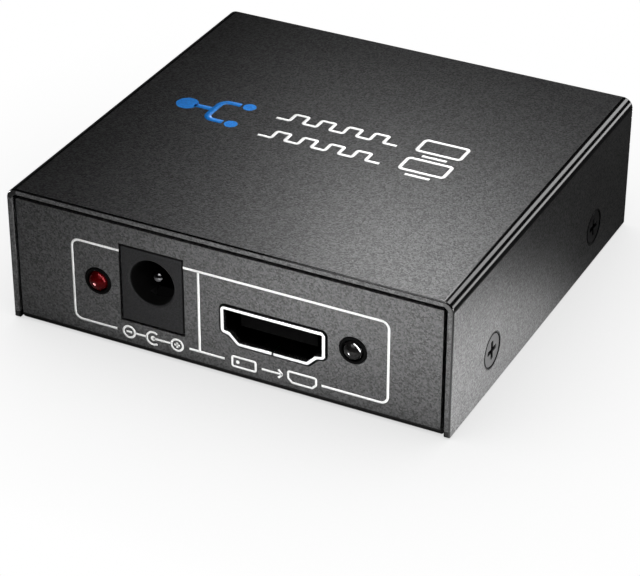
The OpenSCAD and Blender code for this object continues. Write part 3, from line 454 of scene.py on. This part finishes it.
def board_laminate():
    """Green solder mask over tracks along and across the board, and bare laminate at its edges."""
    material, tree, shader, place = start_material("board laminate", specular=BOARD_SPECULAR)
    axes = split(tree, place)
    tracks = []
    for axis in ("X", "Y"):
        step = calculate(tree, "FRACT", calculate(tree, "DIVIDE", axes[axis], TRACK_PITCH))
        from_middle = calculate(tree, "ABSOLUTE", calculate(tree, "SUBTRACT", step, 0.5))
        tracks.append(remap(tree, from_middle, (TRACK_SHARE / 2, TRACK_SHARE / 2 + TRACK_FADE), FALLING))
    fields = use_group(tree, FINE_GRAIN, place, Size=TRACK_FIELD)["Tone"]
    along = calculate(tree, "MULTIPLY", tracks[0], remap(tree, fields, FIELDS_ALONG, RISING))
    across = calculate(tree, "MULTIPLY", tracks[1], remap(tree, fields, FIELDS_ACROSS, FALLING))
    copper = calculate(tree, "MAXIMUM", along, across)
    masked = mix_colours(tree, copper, MASK_GREEN, TRACK_GREEN)
    facing = split(tree, add_node(tree, "ShaderNodeNewGeometry").outputs["Normal"])
    level = remap(tree, calculate(tree, "ABSOLUTE", facing["Z"]), EDGE_TURN, RISING)
    feed(tree, shader, {"Base Color": mix_colours(tree, level, BARE_LAMINATE, masked),
                        "Roughness": remap(tree, copper, RISING, MASK_ROUGH)})
    set_bump(tree, shader, copper, TRACK_DEPTH)
    return material


def capped_chip(name, dark, light, node):
    """Small fired chips in a row, with tinned ends."""
    low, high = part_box(node)
    material, tree, shader, place = start_material(name, specular=BOARD_SPECULAR)
    fine = use_group(tree, FINE_GRAIN, place, Size=CHIP_GRAIN)
    across = calculate(tree, "SUBTRACT", split(tree, place)["X"], (low[0] + high[0]) / 2)
    cap_start = (high[0] - low[0]) / 2 - CHIP_CAP
    tin = remap(tree, calculate(tree, "ABSOLUTE", across), (cap_start, cap_start + CAP_FADE), RISING)
    body = mix_colours(tree, fine["Tone"], dark, light)
    feed(tree, shader, {"Base Color": mix_colours(tree, tin, body, CAP_TIN), "Metallic": tin,
                        "Roughness": remap(tree, tin, RISING, CHIP_ROUGH)})
    set_bump(tree, shader, fine["Height"], CHIP_DEPTH)
    return material


# Each node's material

case_paint = powder_coat()
screw_black = screw_zinc()
jack_black = jack_plastic()
insulator_black = grained("insulator plastic", dark=grey(0.0015), light=grey(0.004), rough=(0.70, 0.80),
                          grain=0.10 * MM, depth=0.002 * MM, specular=0.02)
holder_black = grained("holder plastic", dark=grey(0.001), light=grey(0.003), rough=(0.40, 0.50),
                       grain=0.10 * MM, depth=0.002 * MM, specular=0.02)
shell_nickel = socket_nickel()
# The jack's pin, spring and terminals are dark metal, as painted shade for their place deep in the bore.
shaded_jack_nickel = drawn_metal("jack metal", dark=(0.06, 0.06, 0.062), light=(0.10, 0.10, 0.103),
                          rough=(0.07, 0.12), stretch=ALONG_Y, depth=0.001 * MM)
contact_gold = drawn_metal("contact plating", dark=(0.74, 0.52, 0.18), light=(0.90, 0.70, 0.32),
                           rough=(0.14, 0.26), stretch=ALONG_Y, depth=0.001 * MM)
standoff_brass = drawn_metal("standoff brass", dark=(0.58, 0.41, 0.15), light=(0.74, 0.55, 0.24),
                             rough=(0.22, 0.34), stretch=ALONG_Z, depth=0.002 * MM)
screw_steel = drawn_metal("screw steel", dark=(0.40, 0.40, 0.41), light=(0.56, 0.56, 0.57),
                          rough=(0.24, 0.36), stretch=ALONG_Z, depth=0.002 * MM)
tinned = drawn_metal("tinned lead", dark=(0.54, 0.54, 0.55), light=(0.70, 0.70, 0.71),
                     rough=(0.24, 0.38), stretch=ALONG_Y, depth=0.001 * MM)
drawn_can = drawn_metal("drawn can", dark=(0.60, 0.60, 0.61), light=(0.76, 0.76, 0.77),
                        rough=(0.20, 0.34), stretch=ALONG_Z, depth=0.001 * MM)
laminate = board_laminate()
chip_epoxy = grained("chip epoxy", dark=grey(0.008), light=(0.024, 0.024, 0.025), rough=(0.50, 0.62),
                     grain=0.12 * MM, depth=0.006 * MM, specular=0.4)
ferrite = grained("fired ferrite", dark=(0.020, 0.020, 0.021), light=(0.050, 0.049, 0.048),
                  rough=(0.55, 0.70), grain=0.16 * MM, depth=0.012 * MM, specular=0.3)
resistor_glaze = capped_chip("resistor glaze", dark=(0.008, 0.008, 0.009), light=(0.018, 0.018, 0.019),
                             node="chip_resistors")
capacitor_ceramic = capped_chip("capacitor ceramic", dark=(0.28, 0.19, 0.10), light=(0.40, 0.28, 0.17),
                                node="chip_capacitors")
lamp_red = tinted_epoxy("red epoxy", dark=(0.022, 0.0003, 0.0006), light=(0.050, 0.0007, 0.0014),
                        rough=(0.14, 0.18), specular=0.09, specular_tint=(1.0, 0.16, 0.18, 1.0))
lamp_smoke = tinted_epoxy("smoke epoxy", dark=grey(0.002), light=(0.005, 0.0045, 0.0045),
                          rough=(0.05, 0.08), specular=0.12)

NODE_MATERIAL = {
    "top_cover": case_paint, "base_tray": case_paint, "cover_screws": screw_black,
    "board_standoffs": standoff_brass, "board_screws": screw_steel, "circuit_board": laminate,
    "power_jack_housing": jack_black, "power_jack_centre_pin": shaded_jack_nickel,
    "power_jack_sleeve_spring": shaded_jack_nickel, "power_jack_sleeve_terminal": shaded_jack_nickel,
    "power_jack_switch_contact": shaded_jack_nickel, "crystal_can": drawn_can,
    "filter_capacitor_cans": drawn_can, "filter_capacitor_bases": chip_epoxy, "power_inductor": ferrite,
    "chip_resistors": resistor_glaze, "chip_capacitors": capacitor_ceramic}
for piece in ("splitter_chip", "control_chip", "voltage_regulators", "protection_diode",
              "surge_protectors"):
    NODE_MATERIAL[piece] = chip_epoxy
for piece in ("splitter_chip", "control_chip", "voltage_regulator", "crystal", "protection_diode"):
    NODE_MATERIAL[piece + "_leads"] = tinned
for socket in SOCKETS:
    NODE_MATERIAL[socket + "_shell"] = shell_nickel
    NODE_MATERIAL[socket + "_insulator"] = insulator_black
    NODE_MATERIAL[socket + "_contacts"] = contact_gold
for lamp in LAMPS:
    NODE_MATERIAL[lamp + "_lens"] = lamp_red if lamp == "power_lamp" else lamp_smoke
    NODE_MATERIAL[lamp + "_holder"] = holder_black
    NODE_MATERIAL[lamp + "_leads"] = tinned

for name, material in NODE_MATERIAL.items():
    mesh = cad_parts[name].data
    mesh.materials.clear()
    mesh.materials.append(material)


# Broken edges

WELD = 0.002 * MM
FLAT = math.radians(1)
SHARP = math.radians(40)
EDGE_STEPS = 3
EDGE_RADIUS = {"top_cover": 0.22 * MM, "cover_screws": 0.05 * MM, "power_jack_housing": 0.12 * MM}
for socket in SOCKETS:
    EDGE_RADIUS[socket + "_shell"] = 0.06 * MM
for lamp in LAMPS:
    EDGE_RADIUS[lamp + "_holder"] = 0.08 * MM


def break_edges(piece, radius):
    """Joins a piece's faces, merges its flat ones, and rounds the sharp edges between them."""
    weld = piece.modifiers.new("join faces", "WELD")
    weld.merge_threshold = WELD
    merge = piece.modifiers.new("merge flat faces", "DECIMATE")
    merge.decimate_type = "DISSOLVE"
    merge.angle_limit = FLAT
    bevel = piece.modifiers.new("broken edges", "BEVEL")
    bevel.width = radius
    bevel.segments = EDGE_STEPS
    bevel.limit_method = "ANGLE"
    bevel.angle_limit = SHARP
    bevel.use_clamp_overlap = False
    piece.modifiers.new("even shading", "WEIGHTED_NORMAL")


for name, radius in EDGE_RADIUS.items():
    break_edges(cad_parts[name], radius)


# Print

INK_DEPTH = 0.03 * MM
INK_SUNK = 0.01 * MM
INK_RISE = INK_DEPTH / 2 - INK_SUNK
INK_LINE = 0.3 * MM
INK_CORNER = 0.5 * MM
INK_DOT = 0.5 * MM
DOT_SIDES = 28
FILLET_STEPS = 6


def finish_tree(group, result, geometry, ink):
    """Ends a tree with plain geometry in one material."""
    plain = add_node(group, "GeometryNodeRealizeInstances", {"Geometry": geometry})
    inked = add_node(group, "GeometryNodeSetMaterial", {"Geometry": plain.outputs[0], "Material": ink})
    group.links.new(inked.outputs[0], result.inputs["Geometry"])
    return group


def printed_lines_tree():
    """Lines of even width along flat strokes, with rounded corners."""
    group, given, result = new_group(
        "GeometryNodeTree", "printed lines",
        {"Geometry": ("NodeSocketGeometry", None), "Line width": ("NodeSocketFloat", INK_LINE),
         "Corner radius": ("NodeSocketFloat", INK_CORNER), "Ink depth": ("NodeSocketFloat", INK_DEPTH),
         "Ink": ("NodeSocketMaterial", None)},
        {"Geometry": "NodeSocketGeometry"})
    rounded = add_node(group, "GeometryNodeFilletCurve",
                       {"Curve": given.outputs["Geometry"], "Radius": given.outputs["Corner radius"],
                        "Count": FILLET_STEPS, "Limit Radius": True}, mode="POLY")
    level = add_node(group, "GeometryNodeSetCurveNormal", {"Curve": rounded.outputs[0]}, mode="Z_UP")
    section = add_node(group, "GeometryNodeCurvePrimitiveQuadrilateral",
                       {"Width": given.outputs["Line width"], "Height": given.outputs["Ink depth"]})
    swept = add_node(group, "GeometryNodeCurveToMesh",
                     {"Curve": level.outputs[0], "Profile Curve": section.outputs[0],
                      "Fill Caps": True})
    return finish_tree(group, result, swept.outputs[0], given.outputs["Ink"])


def printed_dots_tree():
    """A round dot of ink at each point."""
    group, given, result = new_group(
        "GeometryNodeTree", "printed dots",
        {"Geometry": ("NodeSocketGeometry", None), "Radius": ("NodeSocketFloat", INK_DOT),
         "Ink depth": ("NodeSocketFloat", INK_DEPTH), "Ink": ("NodeSocketMaterial", None)},
        {"Geometry": "NodeSocketGeometry"})
    disc = add_node(group, "GeometryNodeMeshCylinder",
                    {"Vertices": DOT_SIDES, "Radius": given.outputs["Radius"],
                     "Depth": given.outputs["Ink depth"]})
    dots = add_node(group, "GeometryNodeInstanceOnPoints",
                    {"Points": given.outputs["Geometry"], "Instance": disc.outputs["Mesh"]})
    return finish_tree(group, result, dots.outputs[0], given.outputs["Ink"])


PRINTED_LINES = printed_lines_tree()
PRINTED_DOTS = printed_dots_tree()
white_ink = grained("white ink", dark=(0.80, 0.80, 0.79), light=(0.90, 0.90, 0.89), rough=(0.45, 0.55),
                    grain=0.20 * MM, depth=0.003 * MM)
blue_ink = grained("blue ink", dark=(0.003, 0.16, 0.56), light=(0.004, 0.23, 0.74), rough=(0.45, 0.55),
                   grain=0.20 * MM, depth=0.003 * MM)

stand_up = Matrix.Rotation(math.pi / 2, 4, "X")
turn_round = Matrix.Rotation(math.pi, 4, "Z")
ON_FRONT = Matrix.Translation((0.0, BASE_LOW[1] - INK_RISE, 0.0)) @ stand_up
ON_BACK = Matrix.Translation((0.0, BASE_HIGH[1] + INK_RISE, 0.0)) @ turn_round @ stand_up
ON_TOP = Matrix.Translation((0.0, 0.0, COVER_HIGH[2] + INK_RISE))


def grow(source, tree, values, place):
    """Runs a tree on an object, and leaves its result as a plain mesh in its place on the case."""
    bpy.context.scene.collection.objects.link(source)
    modifier = source.modifiers.new("grow", "NODES")
    modifier.node_group = tree
    for socket in tree.interface.items_tree:
        if socket.in_out == "INPUT" and socket.name in values:
            modifier[socket.identifier] = values[socket.name]
    state = bpy.context.evaluated_depsgraph_get()
    mesh = bpy.data.meshes.new_from_object(source.evaluated_get(state), depsgraph=state)
    mesh.transform(place)
    name = source.name
    bpy.data.objects.remove(source)
    piece = bpy.data.objects.new(name, mesh)
    mesh.name = name
    bpy.context.scene.collection.objects.link(piece)
    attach(piece, "case")


def print_lines(name, strokes, width, corner, ink, place):
    """Prints flat strokes, lists of points in millimetres. One that ends where it starts is closed."""
    data = bpy.data.curves.new(name, "CURVE")
    data.dimensions = "3D"
    for stroke in strokes:
        closed = stroke[0] == stroke[-1]
        points = stroke[:-1] if closed else stroke
        spline = data.splines.new("POLY")
        spline.points.add(len(points) - 1)
        for point, (u, v) in zip(spline.points, points):
            point.co = (u * MM, v * MM, 0.0, 1.0)
        spline.use_cyclic_u = closed
    values = {"Line width": width * MM, "Corner radius": corner * MM, "Ink depth": INK_DEPTH, "Ink": ink}
    grow(bpy.data.objects.new(name, data), PRINTED_LINES, values, place)


def print_dots(name, centres, radius, ink, place):
    """Prints round dots at flat points in millimetres."""
    mesh = bpy.data.meshes.new(name)
    mesh.from_pydata([(u * MM, v * MM, 0.0) for u, v in centres], [], [])
    values = {"Radius": radius * MM, "Ink depth": INK_DEPTH, "Ink": ink}
    grow(bpy.data.objects.new(name, mesh), PRINTED_DOTS, values, place)


# Figures that the print is drawn with, in millimetres. A share is of a figure's width or height.

WHOLE_TURN = 360.0
RING_STEPS = 24
PANEL_SHARE = 0.74
FOOT_SHARE = 0.28
KEY_SHARE = 0.36


def ring(u, v, radius, start=0.0, end=WHOLE_TURN):
    """Points round a circle, or along an arc of it, in degrees."""
    angles = [math.radians(start + (end - start) * k / RING_STEPS) for k in range(RING_STEPS + 1)]
    points = [(u + radius * math.cos(a), v + radius * math.sin(a)) for a in angles]
    if end - start == WHOLE_TURN:
        points[-1] = points[0]
    return points


def rectangle(u, v, width, height):
    """A closed rectangle about its centre."""
    low_u, high_u, low_v, high_v = u - width / 2, u + width / 2, v - height / 2, v + height / 2
    return [(low_u, low_v), (high_u, low_v), (high_u, high_v), (low_u, high_v), (low_u, low_v)]


def arrow(start, end, v, head):
    """An arrow along u, as a line and an open head."""
    return [[(start, v), (end, v)], [(end - head, v + head), (end, v), (end - head, v - head)]]


def screen(u, v, width, height):
    """A display with its foot, standing on the line v - height / 2."""
    panel = height * PANEL_SHARE
    foot_u, foot_v = width * FOOT_SHARE, v - height / 2
    return [rectangle(u, v + height / 2 - panel / 2, width, panel),
            [(u - foot_u, foot_v), (u + foot_u, foot_v)]]


def socket_outline(u, v, width, height):
    """The keyed outline of a video socket."""
    half_w, half_h = width / 2, height / 2
    key = height * KEY_SHARE
    return [(u - half_w, v + half_h), (u + half_w, v + half_h), (u + half_w, v - half_h + key),
            (u + half_w - key, v - half_h), (u - half_w + key, v - half_h),
            (u - half_w, v - half_h + key), (u - half_w, v + half_h)]


def pulses(start, end, v, height, count):
    """A square wave between two points."""
    step = (end - start) / (2 * count + 1)
    low, high = v - height / 2, v + height / 2
    points = [(start, low)]
    for k in range(count):
        rise, fall = start + (2 * k + 1) * step, start + (2 * k + 2) * step
        points += [(rise, low), (rise, high), (fall, high), (fall, low)]
    return points + [(end, low)]


# The drawings on the front, the back and the top, in millimetres. A pair is a start and an end, or a
# width and a height, but for the arc of the sleeve in the power symbol, which is in degrees.

FRAME_LINE, FRAME_CORNER = 0.33, 1.05
FRAME_LOW, FRAME_HIGH = 2.77, 14.85
SYMBOL_LINE, SYMBOL_CORNER = 0.30, 0.25
FRONT_LEFT, FRONT_RIGHT, FRONT_DIVIDER = -22.33, 23.36, -3.57
JACK_GAP = (-15.25, -5.75)
POWER_GAP = (-15.97, -5.11)
INPUT_GAP = (0.07, 14.08)
POWER_MIDDLE = -10.55
POLE_REACH, POLE_RADIUS, SIGN = 3.6, 0.85, 0.42
SLEEVE_RADIUS, SLEEVE_ARC = 0.95, (50.0, 310.0)
PIN_RADIUS = 0.36
PLAYER_MIDDLE, PLAYER_SIZE = 2.9, (3.4, 1.5)
PLAYER_DOT, PLAYER_DOT_RADIUS = 2.0, 0.26
INPUT_ARROW, INPUT_HEAD = (5.5, 8.5), 0.62
OUTLINE_MIDDLE, OUTLINE_SIZE = 11.3, (4.0, 1.6)
BACK_LEFT, BACK_RIGHT, BACK_DIVIDER = -23.2, 23.9, 0.35
OUTPUT_GAPS = ((-17.2, -11.1), (5.9, 12.3))
OUTPUT_ARROW, OUTPUT_HEAD = (-2.55, -0.65), 0.55
OUTPUT_SCREEN, OUTPUT_SCREEN_SIZE = 1.25, (2.9, 2.1)
PIP_PITCH, PIP_RISE, PIP_RADIUS = 0.75, 0.27, 0.24
TOP_MIDDLE, TOP_ROW = 1.1, 2.75
TOP_ROWS = (TOP_MIDDLE + TOP_ROW, TOP_MIDDLE - TOP_ROW)
SOURCE_U, SOURCE_RADIUS = -22.6, 1.6
STEM = (-21.4, -18.85)
BRANCH = (-18.4, -15.6)
BRANCH_LINE, BRANCH_CORNER = 0.95, 1.3
BRANCH_END, BRANCH_END_RADIUS = -14.3, 0.95
PULSES, PULSE_HEIGHT, PULSE_COUNT, PULSE_CORNER = (-9.6, 8.6), 2.0, 4, 0.3
TOP_LINE = 0.5
TOP_SCREEN, TOP_SCREEN_SIZE, TOP_SCREEN_RISE, TOP_SCREEN_CORNER = 14.6, (6.4, 4.4), 0.2, 0.5


def print_front():
    """The input side: a frame broken by the jack and by two symbols, power polarity and signal in."""
    low, high = FRAME_LOW, FRAME_HIGH
    print_lines("front_frame", [
        [(POWER_GAP[0], low), (FRONT_LEFT, low), (FRONT_LEFT, high), (JACK_GAP[0], high)],
        [(JACK_GAP[1], high), (FRONT_RIGHT, high), (FRONT_RIGHT, low), (INPUT_GAP[1], low)],
        [(POWER_GAP[1], low), (INPUT_GAP[0], low)],
        [(FRONT_DIVIDER, low), (FRONT_DIVIDER, high)]], FRAME_LINE, FRAME_CORNER, white_ink, ON_FRONT)
    left, right = POWER_MIDDLE - POLE_REACH, POWER_MIDDLE + POLE_REACH
    print_lines("front_power_symbol", [
        ring(left, low, POLE_RADIUS), [(left - SIGN, low), (left + SIGN, low)],
        [(left + POLE_RADIUS, low), (POWER_MIDDLE - SLEEVE_RADIUS, low)],
        ring(POWER_MIDDLE, low, SLEEVE_RADIUS, *SLEEVE_ARC),
        [(POWER_MIDDLE, low), (right - POLE_RADIUS, low)], ring(right, low, POLE_RADIUS),
        [(right - SIGN, low), (right + SIGN, low)],
        [(right, low - SIGN), (right, low + SIGN)]], SYMBOL_LINE, 0.0, white_ink, ON_FRONT)
    print_dots("front_power_dot", [(POWER_MIDDLE, low)], PIN_RADIUS, white_ink, ON_FRONT)
    print_lines("front_input_symbol", [
        rectangle(PLAYER_MIDDLE, low, *PLAYER_SIZE), *arrow(*INPUT_ARROW, low, INPUT_HEAD),
        socket_outline(OUTLINE_MIDDLE, low, *OUTLINE_SIZE)],
        SYMBOL_LINE, SYMBOL_CORNER, white_ink, ON_FRONT)
    print_dots("front_input_dots", [(PLAYER_DOT, low)], PLAYER_DOT_RADIUS, white_ink, ON_FRONT)


def print_back():
    """The output side: a frame in two parts, with signal out and one or two pips for each socket."""
    low, high = FRAME_LOW, FRAME_HIGH
    first, second = OUTPUT_GAPS
    print_lines("back_frame", [
        [(first[0], low), (BACK_LEFT, low), (BACK_LEFT, high), (BACK_RIGHT, high), (BACK_RIGHT, low),
         (second[1], low)],
        [(first[1], low), (second[0], low)],
        [(BACK_DIVIDER, low), (BACK_DIVIDER, high)]], FRAME_LINE, FRAME_CORNER, white_ink, ON_BACK)
    for number, gap in enumerate(OUTPUT_GAPS, 1):
        middle = sum(gap) / 2
        shown = middle + OUTPUT_SCREEN
        start, end = (middle + way for way in OUTPUT_ARROW)
        print_lines(f"back_output_{number}_symbol", [
            *arrow(start, end, low, OUTPUT_HEAD), *screen(shown, low, *OUTPUT_SCREEN_SIZE)],
            SYMBOL_LINE, SYMBOL_CORNER, white_ink, ON_BACK)
        pips = [(shown + PIP_PITCH * (k - (number - 1) / 2), low + PIP_RISE) for k in range(number)]
        print_dots(f"back_output_{number}_pips", pips, PIP_RADIUS, white_ink, ON_BACK)


def print_top():
    """One signal that parts into two, each with its pulses and its screen."""
    upper, lower = TOP_ROWS
    near, far = BRANCH
    print_lines("top_branch", [[(far, upper), (near, upper), (near, lower), (far, lower)]],
                BRANCH_LINE, BRANCH_CORNER, blue_ink, ON_TOP)
    print_lines("top_stem", [[(u, TOP_MIDDLE) for u in STEM]], BRANCH_LINE, 0.0, blue_ink, ON_TOP)
    print_dots("top_source", [(SOURCE_U, TOP_MIDDLE)], SOURCE_RADIUS, blue_ink, ON_TOP)
    print_dots("top_ends", [(BRANCH_END, v) for v in TOP_ROWS], BRANCH_END_RADIUS, blue_ink, ON_TOP)
    print_lines("top_pulses", [pulses(*PULSES, v, PULSE_HEIGHT, PULSE_COUNT) for v in TOP_ROWS],
                TOP_LINE, PULSE_CORNER, white_ink, ON_TOP)
    screens = [screen(TOP_SCREEN, v + TOP_SCREEN_RISE, *TOP_SCREEN_SIZE) for v in TOP_ROWS]
    print_lines("top_screens", [line for lines in screens for line in lines],
                TOP_LINE, TOP_SCREEN_CORNER, white_ink, ON_TOP)


print_front()
print_back()
print_top()


# Floor. Painted shadow makes it dark under the object, and close before and behind it.

FLOOR_Z = -0.02 * MM
FLOOR_RADIUS = 1.2
RIM_RADIUS = 0.3
RIM_STEPS = 12
AROUND = 96
FLOOR_PALE = 0.8
FLOOR_ROUGH = 0.7
MIRRORED_WHITE = 0.025
SHADE = 0.42
SHADE_REACH = 40 * MM
SHADE_SAMPLES = 16
CONTACT_REACH = (0.3 * MM, 2.5 * MM)
CONTACT_SHADOW_LEVEL = 0.03
ASIDE_REACH = (-1.0 * MM, 0.0)


def floor_material():
    """White to the camera, softly shaded round the object, and a pale floor to gloss and other light,
    with a painted shadow under and close round the object.
    """
    material, tree, shader, place = start_material("floor", roughness=FLOOR_ROUGH)
    axes = split(tree, place)
    # A painted shadow in the floor's colour: dark under the object and close before and behind it.
    aside, ahead = (calculate(tree, "SUBTRACT", calculate(tree, "ABSOLUTE", axes[axis]), edge)
                    for axis, edge in (("X", COVER_HIGH[0]), ("Y", BASE_HIGH[1])))
    shadow_ahead = remap(tree, ahead, CONTACT_REACH, (CONTACT_SHADOW_LEVEL, FLOOR_PALE))
    shadow_aside = remap(tree, aside, ASIDE_REACH, (0.0, FLOOR_PALE))
    feed(tree, shader, {"Base Color": calculate(tree, "MAXIMUM", shadow_ahead, shadow_aside)})
    path = add_node(tree, "ShaderNodeLightPath").outputs
    mirrored = calculate(tree, "MAXIMUM", path["Is Glossy Ray"], path["Is Transmission Ray"])
    share = calculate(tree, "MULTIPLY_ADD", mirrored, MIRRORED_WHITE, path["Is Camera Ray"])
    open_sky = add_node(tree, "ShaderNodeAmbientOcclusion", {"Distance": SHADE_REACH},
                        samples=SHADE_SAMPLES).outputs["AO"]
    level = remap(tree, open_sky, RISING, (1.0 - SHADE, 1.0))
    glow = add_node(tree, "ShaderNodeEmission", {"Color": (1.0, 1.0, 1.0, 1.0), "Strength": level})
    mixed = add_node(tree, "ShaderNodeMixShader", {0: share, 1: shader.outputs[0], 2: glow.outputs[0]})
    tree.links.new(mixed.outputs[0], tree.nodes["Material Output"].inputs["Surface"])
    return material


def make_floor():
    """A round floor whose rim curves up into a low backdrop."""
    climbs = [k / RIM_STEPS * math.pi / 2 for k in range(RIM_STEPS + 1)]
    rings = [(FLOOR_RADIUS + RIM_RADIUS * math.sin(a), RIM_RADIUS * (1 - math.cos(a))) for a in climbs]
    turns = [(math.cos(i / AROUND * math.tau), math.sin(i / AROUND * math.tau)) for i in range(AROUND)]
    points = [(r * x, r * y, FLOOR_Z + z) for r, z in rings for x, y in turns]
    faces = [list(range(AROUND))]
    for k in range(RIM_STEPS):
        for i in range(AROUND):
            j = (i + 1) % AROUND
            faces.append([k * AROUND + i, k * AROUND + j, (k + 1) * AROUND + j, (k + 1) * AROUND + i])
    mesh = bpy.data.meshes.new("floor")
    mesh.from_pydata(points, [], faces)
    mesh.materials.append(floor_material())
    floor = bpy.data.objects.new("floor", mesh)
    bpy.context.scene.collection.objects.link(floor)
    return floor


floor = make_floor()


# Camera

CAMERA_AT = (0.13416, -0.27065, 0.18125)
CAMERA_AZIMUTH = math.radians(26.608)
CAMERA_ELEVATION = math.radians(31.400)
CAMERA_ROLL = math.radians(0.1955)
CAMERA_LENS = 142.76
CAMERA_CLIP = (0.01, 10.0)


def make_camera():
    """The camera, turned by its azimuth and elevation and rolled a little."""
    data = bpy.data.cameras.new("camera")
    data.lens = CAMERA_LENS
    data.clip_start, data.clip_end = CAMERA_CLIP
    camera = bpy.data.objects.new("camera", data)
    swing = Matrix.Rotation(CAMERA_AZIMUTH, 4, "Z")
    lift = Matrix.Rotation(math.pi / 2 - CAMERA_ELEVATION, 4, "X")
    roll = Matrix.Rotation(CAMERA_ROLL, 4, "Z")
    camera.matrix_world = Matrix.Translation(CAMERA_AT) @ swing @ lift @ roll
    bpy.context.scene.collection.objects.link(camera)
    bpy.context.scene.camera = camera


# Light. The bend strips, glints and crescents show only as highlights on the bend and the lenses.

WORLD_LEVEL = 0.02
BEND_MIDDLE = BEND / 3
STRIP_ALONG = (0, 1, 0)
STRIP_AWAY = 0.16
STRIP_LENGTH = 0.26
GLINT_SIZE = (0.0025, 0.0025)
CRESCENT_SIZE = (0.05, 0.0035)
CRESCENT_AWAY = Vector((0.0135, -0.0076, 0.0125))
CRESCENT_ALONG = (-1, 0, 1)


def make_world():
    """Even dim light from all round."""
    world = bpy.data.worlds.new("studio")
    world.use_nodes = True
    background = world.node_tree.nodes["Background"]
    background.inputs["Color"].default_value = (1.0, 1.0, 1.0, 1.0)
    background.inputs["Strength"].default_value = WORLD_LEVEL
    bpy.context.scene.world = world


def choose_lit(light, pieces, choice):
    """Lets a light reach only the given pieces, or all but them."""
    receivers = bpy.data.collections.new(light.name)
    light.light_linking.receiver_collection = receivers
    for piece in pieces:
        receivers.objects.link(piece)
    for entry in receivers.collection_objects:
        entry.light_linking.link_state = choice


def add_light(name, at, aim, size, power, spread=180, along=(1, 0, 0), only=(), gloss_only=False):
    """A soft rectangular light that the camera doesn't see, with its first side along a direction."""
    data = bpy.data.lights.new(name, "AREA")
    data.shape = "RECTANGLE"
    data.size, data.size_y = size
    data.energy = power
    data.spread = math.radians(spread)
    light = bpy.data.objects.new(name, data)
    toward = (Vector(aim) - Vector(at)).normalized()
    side = (Vector(along) - toward * toward.dot(Vector(along))).normalized()
    turn = Matrix((side, side.cross(toward), -toward)).transposed().to_4x4()
    light.matrix_world = Matrix.Translation(at) @ turn
    light.visible_camera = False
    light.visible_diffuse = not gloss_only
    bpy.context.scene.collection.objects.link(light)
    if only:
        choose_lit(light, [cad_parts[piece] for piece in only], "INCLUDE")
    return light


def add_bend_strip(name, tilt, width, power):
    """A strip that the cover's right bend mirrors to the camera where it tilts by so many degrees."""
    bend_point = Vector((COVER_HIGH[0] - BEND_MIDDLE, 0.0, COVER_HIGH[2] - BEND_MIDDLE))
    sight = (Vector(CAMERA_AT) - bend_point).normalized()
    facing = Vector((math.sin(math.radians(tilt)), 0.0, math.cos(math.radians(tilt))))
    mirrored = 2 * facing.dot(sight) * facing - sight
    at = bend_point + STRIP_AWAY * mirrored
    beside = Vector((bend_point.x, at.y, bend_point.z))
    add_light(name, at, beside, size=(STRIP_LENGTH, width), power=power, along=STRIP_ALONG,
              only=("top_cover",), gloss_only=True)


def add_lens_lights(lens, glint_away, glint_power, crescent_power):
    """A small glint and a long crescent, both seen only in the gloss of one lens."""
    low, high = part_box(lens)
    tip = Vector(((low[0] + high[0]) / 2, low[1], (low[2] + high[2]) / 2))
    add_light(lens + " glint", tip + Vector(glint_away), tip, size=GLINT_SIZE, power=glint_power,
              only=(lens,), gloss_only=True)
    add_light(lens + " crescent", tip + CRESCENT_AWAY, tip, size=CRESCENT_SIZE, power=crescent_power,
              along=CRESCENT_ALONG, only=(lens,), gloss_only=True)


make_world()
softbox = add_light("top softbox", at=(0.010, -0.003, 0.10), aim=(0.010, -0.003, 0.02),
                    size=(0.05, 0.05), power=0.0165, spread=66)
choose_lit(softbox, [floor], "EXCLUDE")
add_light("front pool", at=(0.012, -0.08, 0.06), aim=(0.012, -0.08, 0.0),
          size=(0.05, 0.05), power=0.050, spread=120)
add_light("front strip", at=(0.010, -0.06, 0.03), aim=(0.010, -0.06, 0.0),
          size=(0.05, 0.02), power=0.0135, spread=90)
add_light("right strip", at=(0.041, -0.016, 0.015), aim=(0.041, -0.016, 0.0),
          size=(0.012, 0.045), power=0.0053, spread=110)
add_light("side key", at=(0.10, -0.032, 0.012), aim=(0.032, -0.029, -0.002),
          size=(0.04, 0.02), power=0.0075, spread=46)
add_light("far sheen", at=(-0.045, 0.12, 0.13), aim=(0.025, -0.03, 0.02),
          size=(0.06, 0.06), power=0.00105, spread=40)
add_light("near sheen", at=(0.0, 0.03, 0.075), aim=(0.022, -0.022, 0.02),
          size=(0.03, 0.03), power=0.0015, spread=60)
add_bend_strip("bend strip high", tilt=26, width=0.05, power=0.175)
add_bend_strip("bend strip low", tilt=56, width=0.036, power=0.125)
add_lens_lights("power_lamp_lens", glint_away=(-0.0059, -0.0083, -0.00645),
                glint_power=0.019, crescent_power=0.044)
add_lens_lights("signal_lamp_lens", glint_away=(-0.00615, -0.0077, -0.0068),
                glint_power=0.006, crescent_power=0.14)
add_light("back pool", at=(0.0, 0.058, 0.03), aim=(0.0, 0.058, 0.0),
          size=(0.042, 0.02), power=0.016, spread=50)
back_fill = add_light("back fill", at=(0.0, 0.15, 0.03), aim=(0.0, 0.03, 0.009),
                      size=(0.10, 0.03), power=0.07, spread=100)
choose_lit(back_fill, [floor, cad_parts["top_cover"]], "EXCLUDE")
add_light("left key", at=(-0.12, -0.06, 0.012), aim=(-0.032, 0.0, 0.01),
          size=(0.06, 0.012), power=0.05, spread=100, only=("top_cover", "cover_screws"))

make_camera()
bpy.context.scene.view_settings.view_transform = "Standard"
